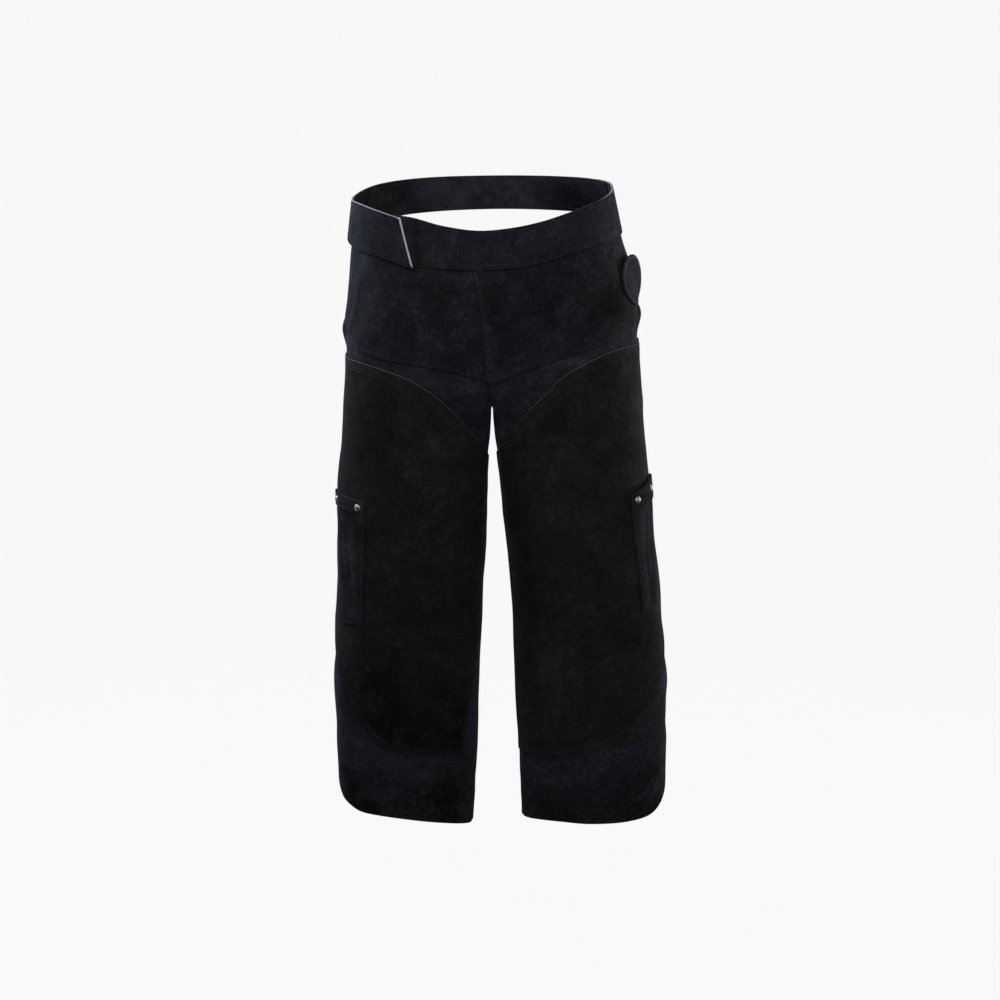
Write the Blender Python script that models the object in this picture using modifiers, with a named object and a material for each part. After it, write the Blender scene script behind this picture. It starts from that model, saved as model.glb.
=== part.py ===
"""A blacksmith's and farrier's apron in split leather, shaped as it is worn.

A belt closes round the hips, a two-piece hip panel hangs from its front, and a separate
panel covers the front of each leg. Each leg panel carries a wear patch and a knife pocket.

Metres, +Z up. The wearer faces -Y, so the wearer's left side is +X. The origin is the
middle of the waist loop. The sizes in the tables are millimetres.
"""

import math

import bmesh
import bpy
from mathutils import Matrix, Vector

MM = 0.001
LEFT, RIGHT = 1, -1
SIDE_NAMES = {LEFT: "left", RIGHT: "right"}


class Table:
    """Rows under named columns, read anywhere on a smooth curve through the rows."""

    def __init__(self, columns, rows):
        self.places = [row[0] for row in rows]
        self.values = {name: [row[i] for row in rows] for i, name in enumerate(columns)}

    def read(self, name, place):
        places, values = self.places, self.values[name]
        last = len(places) - 1
        at = min(max(place, places[0]), places[last])
        low = max(i for i in range(last) if places[i] <= at)
        span = places[low + 1] - places[low]
        slopes = [self.slope(places, values, i) * span for i in (low, low + 1)]
        t = (at - places[low]) / span
        return (
            values[low] * (1 + 2 * t) * (1 - t) ** 2
            + values[low + 1] * t * t * (3 - 2 * t)
            + slopes[0] * t * (1 - t) ** 2
            - slopes[1] * t * t * (1 - t)
        )

    @staticmethod
    def slope(places, values, i):
        before, after = max(i - 1, 0), min(i + 1, len(places) - 1)
        return (values[after] - values[before]) / (places[after] - places[before])


# The body under the leather
# Cross-sections of the hips: where each side, the front and the back lie at a height.
TORSO = Table(
    ("height", "right", "left", "front", "back", "squareness"),
    (
        (-260, -191, 213, -118, 112, 2.9),
        (-200, -189, 210, -119, 112, 2.8),
        (-150, -187, 208, -121, 113, 2.6),
        (-100, -183.3, 203, -122, 115, 2.4),
        (-50, -179.8, 191, -119, 116, 2.3),
        (0, -175, 180, -116, 117, 2.2),
        (60, -167.5, 167, -112, 114, 2.2),
    ),
)
# Cross-sections of each leg: inner and outer side, front, and half the depth.
LEG_COLUMNS = ("height", "inner", "outer", "front", "depth")
LEGS = {
    RIGHT: Table(
        LEG_COLUMNS,
        (
            (-860, -14, -203, -82, 64),
            (-780, -9, -204.5, -87, 68),
            (-700, -5, -206.5, -93, 74),
            (-640, -4.2, -209, -98, 78),
            (-580, -1.2, -205, -104, 82),
            (-500, 2.3, -201, -112, 86),
            (-420, 6.6, -199, -118, 90),
            (-340, 7.5, -196, -120, 92),
            (-260, 12, -190, -118, 92),
        ),
    ),
    LEFT: Table(
        LEG_COLUMNS,
        (
            (-860, 50, 253, -82, 64),
            (-780, 47, 254, -87, 68),
            (-700, 44, 252.5, -93, 74),
            (-640, 40.6, 253, -98, 78),
            (-580, 39.3, 246, -104, 82),
            (-500, 35.4, 240, -112, 86),
            (-420, 27, 231, -118, 90),
            (-340, 18.4, 225.5, -120, 92),
            (-260, 11, 217, -118, 92),
        ),
    ),
}
LEG_SQUARENESS = 2.3
# Heights between which the hips turn into two legs, at the seam and at the outside.
SPLIT_AT_SEAM, SPLIT_OUTSIDE = (-195, -340), (-90, -420)
# Angles round the hips and round a leg that a leg panel reaches, from the front.
HIP_REACH, LEG_INNER_REACH, LEG_OUTER_REACH = 98, -68, 98
# Where the front seam runs, from the belt to the crotch.
SEAM = Table(
    ("height", "across"),
    ((-260, 11), (-210, 11), (-180, 8.5), (-139, 4.5), (-98, -1), (-60, -7.5), (0, -12)),
)


def ease(start, end, at):
    """0 at start, 1 at end, and a smooth step between."""
    t = min(max((at - start) / (end - start), 0), 1)
    return t * t * (3 - 2 * t)


def mix(a, b, share):
    return a + (b - a) * share


def rounded_square(angle, squareness):
    """A point of a circle of radius 1 whose corners are squared out; 2 leaves it a circle."""
    sine, cosine = math.sin(angle), math.cos(angle)
    reach = (abs(sine) ** squareness + abs(cosine) ** squareness) ** (-1 / squareness)
    return reach * sine, reach * cosine


def torso_point(angle, height):
    """A point of the hips; the angle is 0 at the front and grows towards the wearer's left."""
    right, left = TORSO.read("right", height), TORSO.read("left", height)
    front, back = TORSO.read("front", height), TORSO.read("back", height)
    sine, cosine = rounded_square(angle, TORSO.read("squareness", height))
    across = (left + right) / 2 + (left - right) / 2 * sine
    deep = (front + back) / 2 - (back - front) / 2 * cosine
    return Vector((across, deep, height))


def leg_point(side, angle, height):
    """A point of a leg; the angle is 0 at the front and grows round the outside."""
    leg = LEGS[side]
    inner, outer = leg.read("inner", height), leg.read("outer", height)
    front, depth = leg.read("front", height), leg.read("depth", height)
    sine, cosine = rounded_square(angle, LEG_SQUARENESS)
    across = (inner + outer) / 2 + (outer - inner) / 2 * sine
    return Vector((across, front + depth * (1 - cosine), height))


def seam_angle(height):
    """The angle round the hips at which the front seam lies."""
    middle = (TORSO.read("left", height) + TORSO.read("right", height)) / 2
    half = (TORSO.read("left", height) - TORSO.read("right", height)) / 2
    return math.asin((SEAM.read("across", height) - middle) / half)


def body_point(side, share, height):
    """A point under one side's leather; share is 0 at its inner edge and 1 at its outer edge."""
    hip_angle = mix(seam_angle(height), side * math.radians(HIP_REACH), share)
    leg_angle = math.radians(mix(LEG_INNER_REACH, LEG_OUTER_REACH, share))
    outside = ease(0, 0.5, share)
    top = mix(SPLIT_AT_SEAM[0], SPLIT_OUTSIDE[0], outside)
    bottom = mix(SPLIT_AT_SEAM[1], SPLIT_OUTSIDE[1], outside)
    split = ease(top, bottom, height)
    return torso_point(hip_angle, height).lerp(leg_point(side, leg_angle, height), split)


# The pieces' sizes
# Leather thicknesses, and how far from the body each piece's inner face lies.
PANEL_THICKNESS, BELT_THICKNESS, PATCH_THICKNESS = 2.0, 2.6, 1.6
PIECE_GAP, PATCH_GAP = 0.5, 0.9
LEG_PANEL_AT = 0.0
HIP_PANEL_AT = LEG_PANEL_AT + PANEL_THICKNESS + PIECE_GAP
WAISTBAND_AT = HIP_PANEL_AT + PANEL_THICKNESS + PIECE_GAP
STRAP_FRONT_AT = WAISTBAND_AT + BELT_THICKNESS + PIECE_GAP + 0.1
PATCH_AT = LEG_PANEL_AT + PANEL_THICKNESS + PATCH_GAP
POCKET_AT = PATCH_AT + PATCH_THICKNESS + PIECE_GAP + 0.1
POCKET_THICKNESS, POCKET_FULLNESS, POCKET_FOLD_GAP = 1.6, 2.6, 0.5
RIVET_RADIUS, RIVET_HEIGHT = 5.0, 1.9
BADGE_RADIUS, BADGE_THICKNESS, BADGE_AT = 35, 2.4, WAISTBAND_AT + 0.7
# The badge is a stiff disc that stands upright: its middle, the way it faces in degrees from
# the front, how far behind it lies the line that it is set out from, and how softly it turns.
BADGE_MIDDLE, BADGE_FACING, BADGE_SPREAD, BADGE_EASE = (202.4, -27.5, -79), 66, 200, 2
HIP_PANEL_TUCK, LEG_PANEL_TUCK = 24, 24
SEAM_RIDGE_HEIGHT, SEAM_RIDGE_WIDTH = 2.2, 7
HALF_SEAM_GAP = 0.3
# Rows of the leg panels and patches lie closer together towards the crotch.
ROW_CROWDING = 1.35

# The band's and the strap's edges by the angle round the hips.
WAISTBAND_ANGLES = (-70, 118)
WAISTBAND = Table(
    ("angle", "top", "bottom"),
    (
        (-75, 22, -36),
        (-52, 15, -42),
        (-33, 11, -53),
        (-18, 0, -57),
        (-3, -6, -58),
        (12, -2, -55),
        (25, 6, -47),
        (36, 15, -37),
        (55, 29, -25),
        (75, 40, -19),
        (95, 49, -13),
        (120, 54, -3),
    ),
)
# The strap starts at its cut end over the band and ends inside the band's other end.
STRAP = Table(
    ("angle", "top", "bottom", "face"),
    (
        (-256, 51, -2, 1.9),
        (-236, 55, 5, 1.9),
        (-210, 57, 9, 1.8),
        (-180, 57, 9.5, 1.8),
        (-150, 54.3, 5, 1.8),
        (-125, 47.2, -4, 3.2),
        (-105, 37, -14, 5.5),
        (-90, 30, -22, STRAP_FRONT_AT),
        (-67, 26, -34, STRAP_FRONT_AT),
        (-50, 18, -41, STRAP_FRONT_AT),
        (-38, 10, -51, STRAP_FRONT_AT),
        (-28, 7, -60, STRAP_FRONT_AT),
    ),
)
STRAP_START, STRAP_END_TOP, STRAP_END_BOTTOM = -254, -37.4, -30.3

# The hip panels' outer edge by height, and their lower edge from the seam outwards.
HIP_OUTER = Table(
    ("height", "share"), ((-150, 0.9), (-125, 0.905), (-95, 0.94), (-65, 1.01), (-30, 1.04), (0, 1.05))
)
HIP_LOWER = {
    RIGHT: Table(
        ("share", "height"),
        (
            (0, -209.5),
            (0.085, -201.7),
            (0.162, -195.2),
            (0.283, -187.8),
            (0.438, -181.4),
            (0.58, -173),
            (0.652, -165),
            (0.7, -153),
            (0.78, -142),
            (0.92, -134),
            (1.06, -130),
        ),
    ),
    LEFT: Table(
        ("share", "height"),
        (
            (0, -209.5),
            (0.113, -196.4),
            (0.235, -182),
            (0.357, -169.5),
            (0.465, -160.2),
            (0.565, -150),
            (0.69, -141),
            (0.815, -134.7),
            (1.06, -128),
        ),
    ),
}
# The leg panels' upper and lower edges.
LEG_PANEL_OUTER = 1.07
LEG_UPPER = {
    RIGHT: Table(("share", "height"), ((0.8, -119), (0.9, -120), (0.98, -127), (1.07, -146))),
    LEFT: Table(("share", "height"), ((0.8, -114), (0.9, -112), (0.98, -116), (1.07, -134))),
}
LEG_LOWER = {
    RIGHT: Table(
        ("share", "height"),
        (
            (0, -836),
            (0.03, -840),
            (0.065, -840),
            (0.247, -833.4),
            (0.355, -829.4),
            (0.44, -826.6),
            (0.54, -823),
            (0.65, -818.8),
            (0.712, -812.8),
            (0.79, -803.5),
            (0.84, -793),
            (0.92, -774),
            (1.0, -735),
            (1.07, -690),
        ),
    ),
    LEFT: Table(
        ("share", "height"),
        (
            (0, -828),
            (0.04, -831.5),
            (0.165, -831.3),
            (0.26, -831.6),
            (0.393, -834.2),
            (0.54, -832.6),
            (0.64, -829.2),
            (0.688, -826.4),
            (0.742, -820.5),
            (0.842, -803.8),
            (0.922, -786),
            (1.0, -752),
            (1.07, -705),
        ),
    ),
}
# The thigh patches' edges.
PATCH_OUTER = 1.0
PATCH_UPPER = {
    RIGHT: Table(
        ("share", "height"),
        (
            (0, -317),
            (0.067, -298),
            (0.12, -280),
            (0.157, -261.5),
            (0.21, -240.7),
            (0.263, -224.4),
            (0.338, -208.6),
            (0.445, -196.3),
            (0.585, -188),
            (0.785, -184.3),
            (1.02, -181),
        ),
    ),
    LEFT: Table(
        ("share", "height"),
        (
            (0, -312),
            (0.06, -295),
            (0.12, -273),
            (0.175, -247.5),
            (0.228, -227),
            (0.28, -206.8),
            (0.34, -193.7),
            (0.45, -177.5),
            (0.562, -168.7),
            (0.75, -165.9),
            (1.02, -162),
        ),
    ),
}
PATCH_LOWER = {
    RIGHT: Table(
        ("share", "height"),
        (
            (0.12, -733),
            (0.15, -736.4),
            (0.245, -733.4),
            (0.37, -730.4),
            (0.435, -728.9),
            (0.515, -723.7),
            (0.592, -709),
            (0.647, -684),
            (0.698, -662.3),
            (0.75, -643.3),
            (0.802, -613.3),
            (0.9, -575),
            (1.02, -540),
        ),
    ),
    LEFT: Table(
        ("share", "height"),
        (
            (0, -731),
            (0.042, -735.8),
            (0.218, -735.5),
            (0.345, -730.5),
            (0.49, -722),
            (0.59, -717),
            (0.63, -710),
            (0.662, -697),
            (0.725, -666.5),
            (0.775, -640.5),
            (0.87, -600),
            (1.02, -552),
        ),
    ),
}
PATCH_INNER = {
    RIGHT: Table(
        ("height", "share"),
        ((-738, 0.14), (-702, 0.118), (-632, 0.065), (-547, 0.035), (-420, 0.015), (-316, 0.006)),
    ),
    LEFT: Table(("height", "share"), ((-738, 0.008), (-316, 0.006))),
}
# The pockets' corners, and how deep the folded band at the top is.
POCKETS = {
    RIGHT: {
        "inner": (0.63, 0.635),
        "outer": (0.865, 0.775),
        "top": (-375, -366.5),
        "bottom": (-547.5, -551),
        "band": 17,
        "rivets": ((0.656, -382.4), (0.812, -376.5)),
    },
    LEFT: {
        "inner": (0.665, 0.68),
        "outer": (0.86, 0.787),
        "top": (-366.5, -345.5),
        "bottom": (-531.5, -528.5),
        "band": 26,
        "rivets": ((0.688, -373.5), (0.797, -361.4)),
    },
}
# Soft dents and folds in the leather: middle, half width and height out of the surface.
FOLD_COLUMNS = ("share", "height", "lean", "half_width", "half_length", "out")
FOLDS = {
    RIGHT: (
        (0.7, -112, -0.0028, 0.08, 34, 1.5),
        (0.5, -270, 0, 0.16, 110, -2.5),
        (0.3, -430, 0.0002, 0.16, 150, 2.5),
        (0.62, -640, 0.0003, 0.14, 120, -2.5),
        (0.36, -760, -0.0006, 0.14, 80, -2.5),
        (0.72, -470, 0, 0.04, 60, -1.2),
        (0.98, -200, 0, 0.14, 24, -3.2),
        (0.95, -345, 0, 0.12, 50, 2.6),
    ),
    LEFT: (
        (0.5, -290, 0, 0.16, 110, -2.5),
        (0.3, -450, -0.0002, 0.16, 150, 2.5),
        (0.62, -620, -0.0004, 0.14, 120, -2.5),
        (0.4, -770, 0.0005, 0.16, 70, -2.5),
        (0.95, -255, 0, 0.1, 26, 1.6),
        (0.95, -632, 0, 0.08, 26, 2.6),
        (0.95, -728, 0, 0.08, 24, 2.8),
        (0.92, -63, 0, 0.14, 26, 4),
        (0.5, -120, 0.001, 0.16, 55, -2),
    ),
}
# Each leg panel's upper corner turns out past the hip panel.
CORNER_OUT = {RIGHT: (-148, 8.5), LEFT: (-127, 9.5)}


def drape(side, share, height):
    """How far folds push the leather out of the smooth body surface."""
    out = 0
    for row in FOLDS[side]:
        fold = dict(zip(FOLD_COLUMNS, row))
        middle = fold["share"] + fold["lean"] * (height - fold["height"])
        across = (share - middle) / fold["half_width"]
        along = (height - fold["height"]) / fold["half_length"]
        out += fold["out"] * math.exp(-across * across - along * along)
    return out


def corner_out(side, share, height):
    middle, out = CORNER_OUT[side]
    return out * ease(0.93, 1.0, share) * math.exp(-(((height - middle) / 22) ** 2))


def skin(side, share, height, offset):
    """A point that far outside one side's body surface, folds included."""
    across = body_point(side, share + 0.003, height) - body_point(side, share - 0.003, height)
    along = body_point(side, share, height + 1) - body_point(side, share, height - 1)
    normal = across.cross(along).normalized() * side
    return body_point(side, share, height) + normal * (offset + drape(side, share, height))


def belt_skin(angle, height, offset):
    """A point that far outside the hips, at an angle round them in degrees."""
    at = math.radians(angle)
    across = torso_point(at + 0.01, height) - torso_point(at - 0.01, height)
    along = torso_point(at, height + 1) - torso_point(at, height - 1)
    return torso_point(at, height) + across.cross(along).normalized() * offset


# Building the solids


def clear_scene():
    for thing in list(bpy.data.objects):
        bpy.data.objects.remove(thing)


def material(name, color, roughness, metallic=0.0):
    made = bpy.data.materials.new(name)
    made.use_nodes = True
    shader = made.node_tree.nodes["Principled BSDF"]
    shader.inputs["Base Color"].default_value = (*color, 1)
    shader.inputs["Roughness"].default_value = roughness
    shader.inputs["Metallic"].default_value = metallic
    return made


def add_object(name, shape, look, collection):
    """Makes a named object from a bmesh in millimetres."""
    shape.transform(Matrix.Scale(MM, 4))
    mesh = bpy.data.meshes.new(name)
    shape.to_mesh(mesh)
    shape.free()
    mesh.polygons.foreach_set("use_smooth", [True] * len(mesh.polygons))
    mesh.materials.append(look)
    made = bpy.data.objects.new(name, mesh)
    collection.objects.link(made)
    return made


def add_sheet(name, place, columns, rows, thickness, look, collection):
    """Lays a grid of leather; place turns (0 to 1 across, 0 to 1 down) into a point."""
    shape = bmesh.new()
    bmesh.ops.create_grid(shape, x_segments=columns, y_segments=rows, size=0.5)
    for vertex in shape.verts:
        vertex.co = place(vertex.co.x + 0.5, 0.5 - vertex.co.y)
    made = add_object(name, shape, look, collection)
    solidify = made.modifiers.new("Leather thickness", "SOLIDIFY")
    solidify.thickness = thickness * MM
    solidify.offset = 0
    solidify.use_even_offset = True
    return made


def hip_panel_place(side):
    lower = HIP_LOWER[side]

    def place(u, v):
        share, height = u, 0.0
        for _ in range(6):
            angle = math.degrees(seam_angle(height) * (1 - share)) + side * HIP_REACH * share
            top = WAISTBAND.read("bottom", angle) + HIP_PANEL_TUCK
            height = mix(top, lower.read("height", share), v)
            share = u * HIP_OUTER.read("share", height)
        from_seam = share * math.radians(HIP_REACH) * 190 + HALF_SEAM_GAP
        ridge = SEAM_RIDGE_HEIGHT * math.exp(-((from_seam / SEAM_RIDGE_WIDTH) ** 2))
        ridge *= ease(-62, -72, height)
        lift = 0.8 * ease(0.55, 0.75, share) * ease(-80, -115, height)
        point = skin(side, share, height, HIP_PANEL_AT + PANEL_THICKNESS / 2 + ridge + lift)
        point.x += side * HALF_SEAM_GAP * max(0, 1 - from_seam / 40)
        return point

    return place


def leg_panel_place(side):
    upper, lower, hip = LEG_UPPER[side], LEG_LOWER[side], HIP_LOWER[side]

    def place(u, v):
        share, v = u * LEG_PANEL_OUTER, v**ROW_CROWDING
        tucked = hip.read("height", share) + LEG_PANEL_TUCK
        top = mix(tucked, upper.read("height", share), ease(0.7, 0.9, share))
        height = mix(top, lower.read("height", share), v)
        pressed = ease(0.65, 0.8, share) * ease(0.96, 0.92, share) * ease(-165, -145, height)
        offset = LEG_PANEL_AT + PANEL_THICKNESS / 2 - 0.5 * pressed
        offset += corner_out(side, share, height)
        point = skin(side, share, height, offset)
        point.x += side * HALF_SEAM_GAP * max(0, 1 - share / 0.1) * ease(-300, -230, height)
        return point

    return place


def thigh_patch_place(side):
    upper, lower, inner = PATCH_UPPER[side], PATCH_LOWER[side], PATCH_INNER[side]

    def place(u, v):
        share, height, v = u, 0.0, v**ROW_CROWDING
        for _ in range(6):
            height = mix(upper.read("height", share), lower.read("height", share), v)
            share = mix(inner.read("share", height), PATCH_OUTER, u)
        lift = 0.6 * math.exp(-(((share - 0.15) / 0.1) ** 2) - ((height + 290) / 60) ** 2)
        lift += 0.7 * ease(0.55, 0.7, share) * ease(-560, -600, height)
        return skin(side, share, height, PATCH_AT + PATCH_THICKNESS / 2 + lift)

    return place


def pocket_place(side):
    """The pouch lies flat on the patch at three edges and its top folds over outwards."""
    sizes = POCKETS[side]
    middle = POCKET_AT + POCKET_THICKNESS / 2
    turn = (POCKET_THICKNESS + POCKET_FOLD_GAP) / 2
    band_rows, turn_rows, pouch_rows = 2, 4, 8

    def place(u, v):
        row = round(v * (band_rows + turn_rows + pouch_rows))
        top, bottom = mix(*sizes["top"], u), mix(*sizes["bottom"], u)
        length = top - bottom
        if row <= band_rows:
            down, out = sizes["band"] * (1 - row / band_rows) + turn, 2 * turn
        elif row <= band_rows + turn_rows:
            bend = math.pi * (row - band_rows) / turn_rows
            down, out = turn * (1 - math.sin(bend)), turn * (1 + math.cos(bend))
        else:
            down, out = mix(turn, length, (row - band_rows - turn_rows) / pouch_rows), 0
        below = down / length
        height = top - down
        share = mix(mix(*sizes["inner"], below), mix(*sizes["outer"], below), u)
        belly = math.sin(math.pi * u) ** 0.7 if 0 < u < 1 else 0
        belly *= math.cos(math.pi / 2 * below) ** 0.6 if below < 1 else 0
        return skin(side, share, height, middle + out + POCKET_FULLNESS * belly)

    return place, band_rows + turn_rows + pouch_rows


def waistband_place(u, v):
    angle = mix(*WAISTBAND_ANGLES, u)
    height = mix(WAISTBAND.read("top", angle), WAISTBAND.read("bottom", angle), v)
    return belt_skin(angle, height, WAISTBAND_AT + BELT_THICKNESS / 2)


def belt_strap_place(u, v):
    angle = mix(STRAP_START, mix(STRAP_END_TOP, STRAP_END_BOTTOM, v), u)
    height = mix(STRAP.read("top", angle), STRAP.read("bottom", angle), v)
    return belt_skin(angle, height, STRAP.read("face", angle) + BELT_THICKNESS / 2)


def facing(point, outward, upward):
    """A frame at a point whose third axis points outward."""
    z_axis = outward.normalized()
    x_axis = upward.cross(z_axis).normalized()
    y_axis = z_axis.cross(x_axis)
    return Matrix.Translation(point) @ Matrix((x_axis, y_axis, z_axis)).transposed().to_4x4()


def add_rivet(name, side, share, height, look, collection):
    """A low domed cap on the folded top of a pocket."""
    shape = bmesh.new()
    rings = ((0.0, 1.0), (0.45, 1.0), (0.85, 0.75), (1.0, 0.35), (1.1, 0.0))
    for part, reach in rings:
        radius = RIVET_RADIUS * reach
        if radius:
            bmesh.ops.create_circle(
                shape,
                segments=12,
                radius=radius,
                matrix=Matrix.Translation((0, 0, RIVET_HEIGHT * min(part, 1.0))),
            )
    bmesh.ops.bridge_loops(shape, edges=shape.edges)
    ends = [loop for loop in shape.edges if loop.is_boundary]
    bmesh.ops.holes_fill(shape, edges=ends)
    bmesh.ops.recalc_face_normals(shape, faces=shape.faces)
    place, rows = pocket_place(side)
    sizes = POCKETS[side]
    across = (share - sizes["inner"][0]) / (sizes["outer"][0] - sizes["inner"][0])
    down = (mix(*sizes["top"], across) - height) / sizes["band"]
    row = 2 * (1 - down) / rows
    point = place(across, 0) + (place(across, 2 / rows) - place(across, 0)) * (row * rows / 2)
    beside = place(across + 0.03, 0) - place(across - 0.03, 0)
    upward = place(across, 2 / rows) - place(across, 0)
    outward = beside.cross(upward) * side
    if outward.dot(point - Vector((point.x * 0.5, 0, point.z))) < 0:
        outward = -outward
    point += outward.normalized() * (POCKET_THICKNESS / 2 + PIECE_GAP)
    shape.transform(facing(point, outward, upward))
    return add_object(name, shape, look, collection)


def badge_point(across, up):
    """A point of the badge, upright in its plane or pushed outwards where the hip is in its way."""
    turn = math.radians(BADGE_FACING)
    facing = Vector((math.sin(turn), -math.cos(turn), 0))
    along = Vector((math.cos(turn), math.sin(turn), 0))
    middle = Vector(BADGE_MIDDLE) + Vector((0, 0, up))
    start = middle - facing * BADGE_SPREAD
    free = facing * BADGE_SPREAD + along * across
    lean = across / BADGE_SPREAD
    low, high = 0.3, 1.15
    for _ in range(24):
        share = (low + high) / 2
        seat = skin(LEFT, share, middle.z, BADGE_AT + BADGE_THICKNESS / 2) - start
        if seat.dot(along) < lean * seat.dot(facing):
            low = share
        else:
            high = share
    held = seat.dot(facing) * math.hypot(1, lean)
    out = (free.length + held + math.hypot(free.length - held, BADGE_EASE)) / 2
    return start + free.normalized() * out


def add_badge(look, collection):
    """A plain round badge on the left hip."""
    shape = bmesh.new()
    segments = 24
    middle, rings = shape.verts.new((0, 0, 0)), []
    for reach in (1 / 3, 2 / 3, 1):
        radius = BADGE_RADIUS * reach
        turns = [2 * math.pi * step / segments for step in range(segments)]
        ring = [shape.verts.new((radius * math.cos(t), radius * math.sin(t), 0)) for t in turns]
        rings.append(ring)
    for step in range(segments):
        after = (step + 1) % segments
        shape.faces.new((middle, rings[0][step], rings[0][after]))
        for inner, outer in zip(rings, rings[1:]):
            shape.faces.new((inner[step], outer[step], outer[after], inner[after]))
    for vertex in shape.verts:
        vertex.co = badge_point(vertex.co.x, vertex.co.y)
    made = add_object("hip_badge", shape, look, collection)
    solidify = made.modifiers.new("Leather thickness", "SOLIDIFY")
    solidify.thickness = BADGE_THICKNESS * MM
    solidify.offset = 0
    return made


def build():
    clear_scene()
    collection = bpy.data.collections.new("blacksmith_apron")
    bpy.context.scene.collection.children.link(collection)
    navy = material("navy_suede", (0.022, 0.026, 0.042), 0.85)
    brown = material("brown_suede", (0.027, 0.025, 0.024), 0.88)
    steel = material("rivet_steel", (0.75, 0.75, 0.76), 0.3, 1.0)

    band = (waistband_place, 32, 2, BELT_THICKNESS)
    strap = (belt_strap_place, 44, 2, BELT_THICKNESS)
    add_sheet("waistband", *band, navy, collection)
    add_sheet("belt_strap", *strap, navy, collection)
    for side in (LEFT, RIGHT):
        name = SIDE_NAMES[side]
        hip = (hip_panel_place(side), 18, 7, PANEL_THICKNESS)
        leg = (leg_panel_place(side), 22, 24, PANEL_THICKNESS)
        patch = (thigh_patch_place(side), 20, 20, PATCH_THICKNESS)
        place, rows = pocket_place(side)
        add_sheet("hip_panel_" + name, *hip, navy, collection)
        add_sheet("leg_panel_" + name, *leg, navy, collection)
        add_sheet("thigh_patch_" + name, *patch, brown, collection)
        add_sheet("pocket_" + name, place, 6, rows, POCKET_THICKNESS, navy, collection)
        for where, (share, height) in zip(("front", "rear"), POCKETS[side]["rivets"]):
            add_rivet("rivet_" + name + "_" + where, side, share, height, steel, collection)
    add_badge(navy, collection)


if __name__ == "__main__":
    build()
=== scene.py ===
"""Looks for a blacksmith's leather apron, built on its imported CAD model.

Every leather piece of the model is replaced by a finely cut sheet of the same shape, with
its thickness, cut edges, folds, stitching and suede. The sizes in the tables are
millimetres; share runs from a side's inner edge, at 0, to its outer edge, at 1.
"""

import math

import bpy
import numpy as np
from mathutils import Matrix, Vector
from mathutils.bvhtree import BVHTree
from mathutils.kdtree import KDTree


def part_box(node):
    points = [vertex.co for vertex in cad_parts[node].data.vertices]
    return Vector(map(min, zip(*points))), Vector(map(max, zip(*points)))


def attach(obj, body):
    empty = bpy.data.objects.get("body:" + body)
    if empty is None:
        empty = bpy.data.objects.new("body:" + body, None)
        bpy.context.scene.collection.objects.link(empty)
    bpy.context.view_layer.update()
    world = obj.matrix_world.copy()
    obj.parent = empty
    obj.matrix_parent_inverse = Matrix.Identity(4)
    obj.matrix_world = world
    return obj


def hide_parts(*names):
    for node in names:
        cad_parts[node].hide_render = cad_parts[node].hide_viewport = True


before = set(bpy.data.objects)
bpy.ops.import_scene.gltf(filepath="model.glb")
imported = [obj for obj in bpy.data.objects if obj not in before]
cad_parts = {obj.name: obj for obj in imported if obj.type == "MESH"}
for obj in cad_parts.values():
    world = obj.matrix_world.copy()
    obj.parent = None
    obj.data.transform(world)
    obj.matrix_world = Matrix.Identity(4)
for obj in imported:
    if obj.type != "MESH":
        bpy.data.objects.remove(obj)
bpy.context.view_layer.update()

MM = 0.001
LEFT, RIGHT = 1, -1
SIDE_NAMES = {LEFT: "left", RIGHT: "right"}

# Camera and studio, in metres
CAMERA_TARGET = Vector((0.022, 0, -0.3895))
CAMERA_DISTANCE, CAMERA_ELEVATION, CAMERA_LENS = 4.0, 9.0, 102.857


class Table:
    """Rows under named columns, read anywhere on a smooth curve through the rows."""

    def __init__(self, columns, rows):
        rows = np.array(rows, float)
        self.places = rows[:, 0]
        self.columns = {name: rows[:, i] for i, name in enumerate(columns)}

    def read(self, name, place):
        places, values = self.places, self.columns[name]
        at = np.clip(place, places[0], places[-1])
        low = np.clip(np.searchsorted(places, at, "right") - 1, 0, len(places) - 2)
        before = np.clip(np.arange(len(places)) - 1, 0, None)
        after = np.clip(np.arange(len(places)) + 1, None, len(places) - 1)
        slopes = (values[after] - values[before]) / (places[after] - places[before])
        span = places[low + 1] - places[low]
        t = (at - places[low]) / span
        return (
            values[low] * (1 + 2 * t) * (1 - t) ** 2
            + values[low + 1] * t * t * (3 - 2 * t)
            + slopes[low] * span * t * (1 - t) ** 2
            - slopes[low + 1] * span * t * t * (1 - t)
        )


# The body under the leather
# Cross-sections of the hips: where each side, the front and the back lie at a height.
TORSO = Table(
    ("height", "right", "left", "front", "back", "squareness"),
    (
        (-260, -191, 213, -118, 112, 2.9),
        (-200, -189, 210, -119, 112, 2.8),
        (-150, -187, 208, -121, 113, 2.6),
        (-100, -183.3, 203, -122, 115, 2.4),
        (-50, -179.8, 191, -119, 116, 2.3),
        (0, -175, 180, -116, 117, 2.2),
        (60, -167.5, 167, -112, 114, 2.2),
    ),
)
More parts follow.
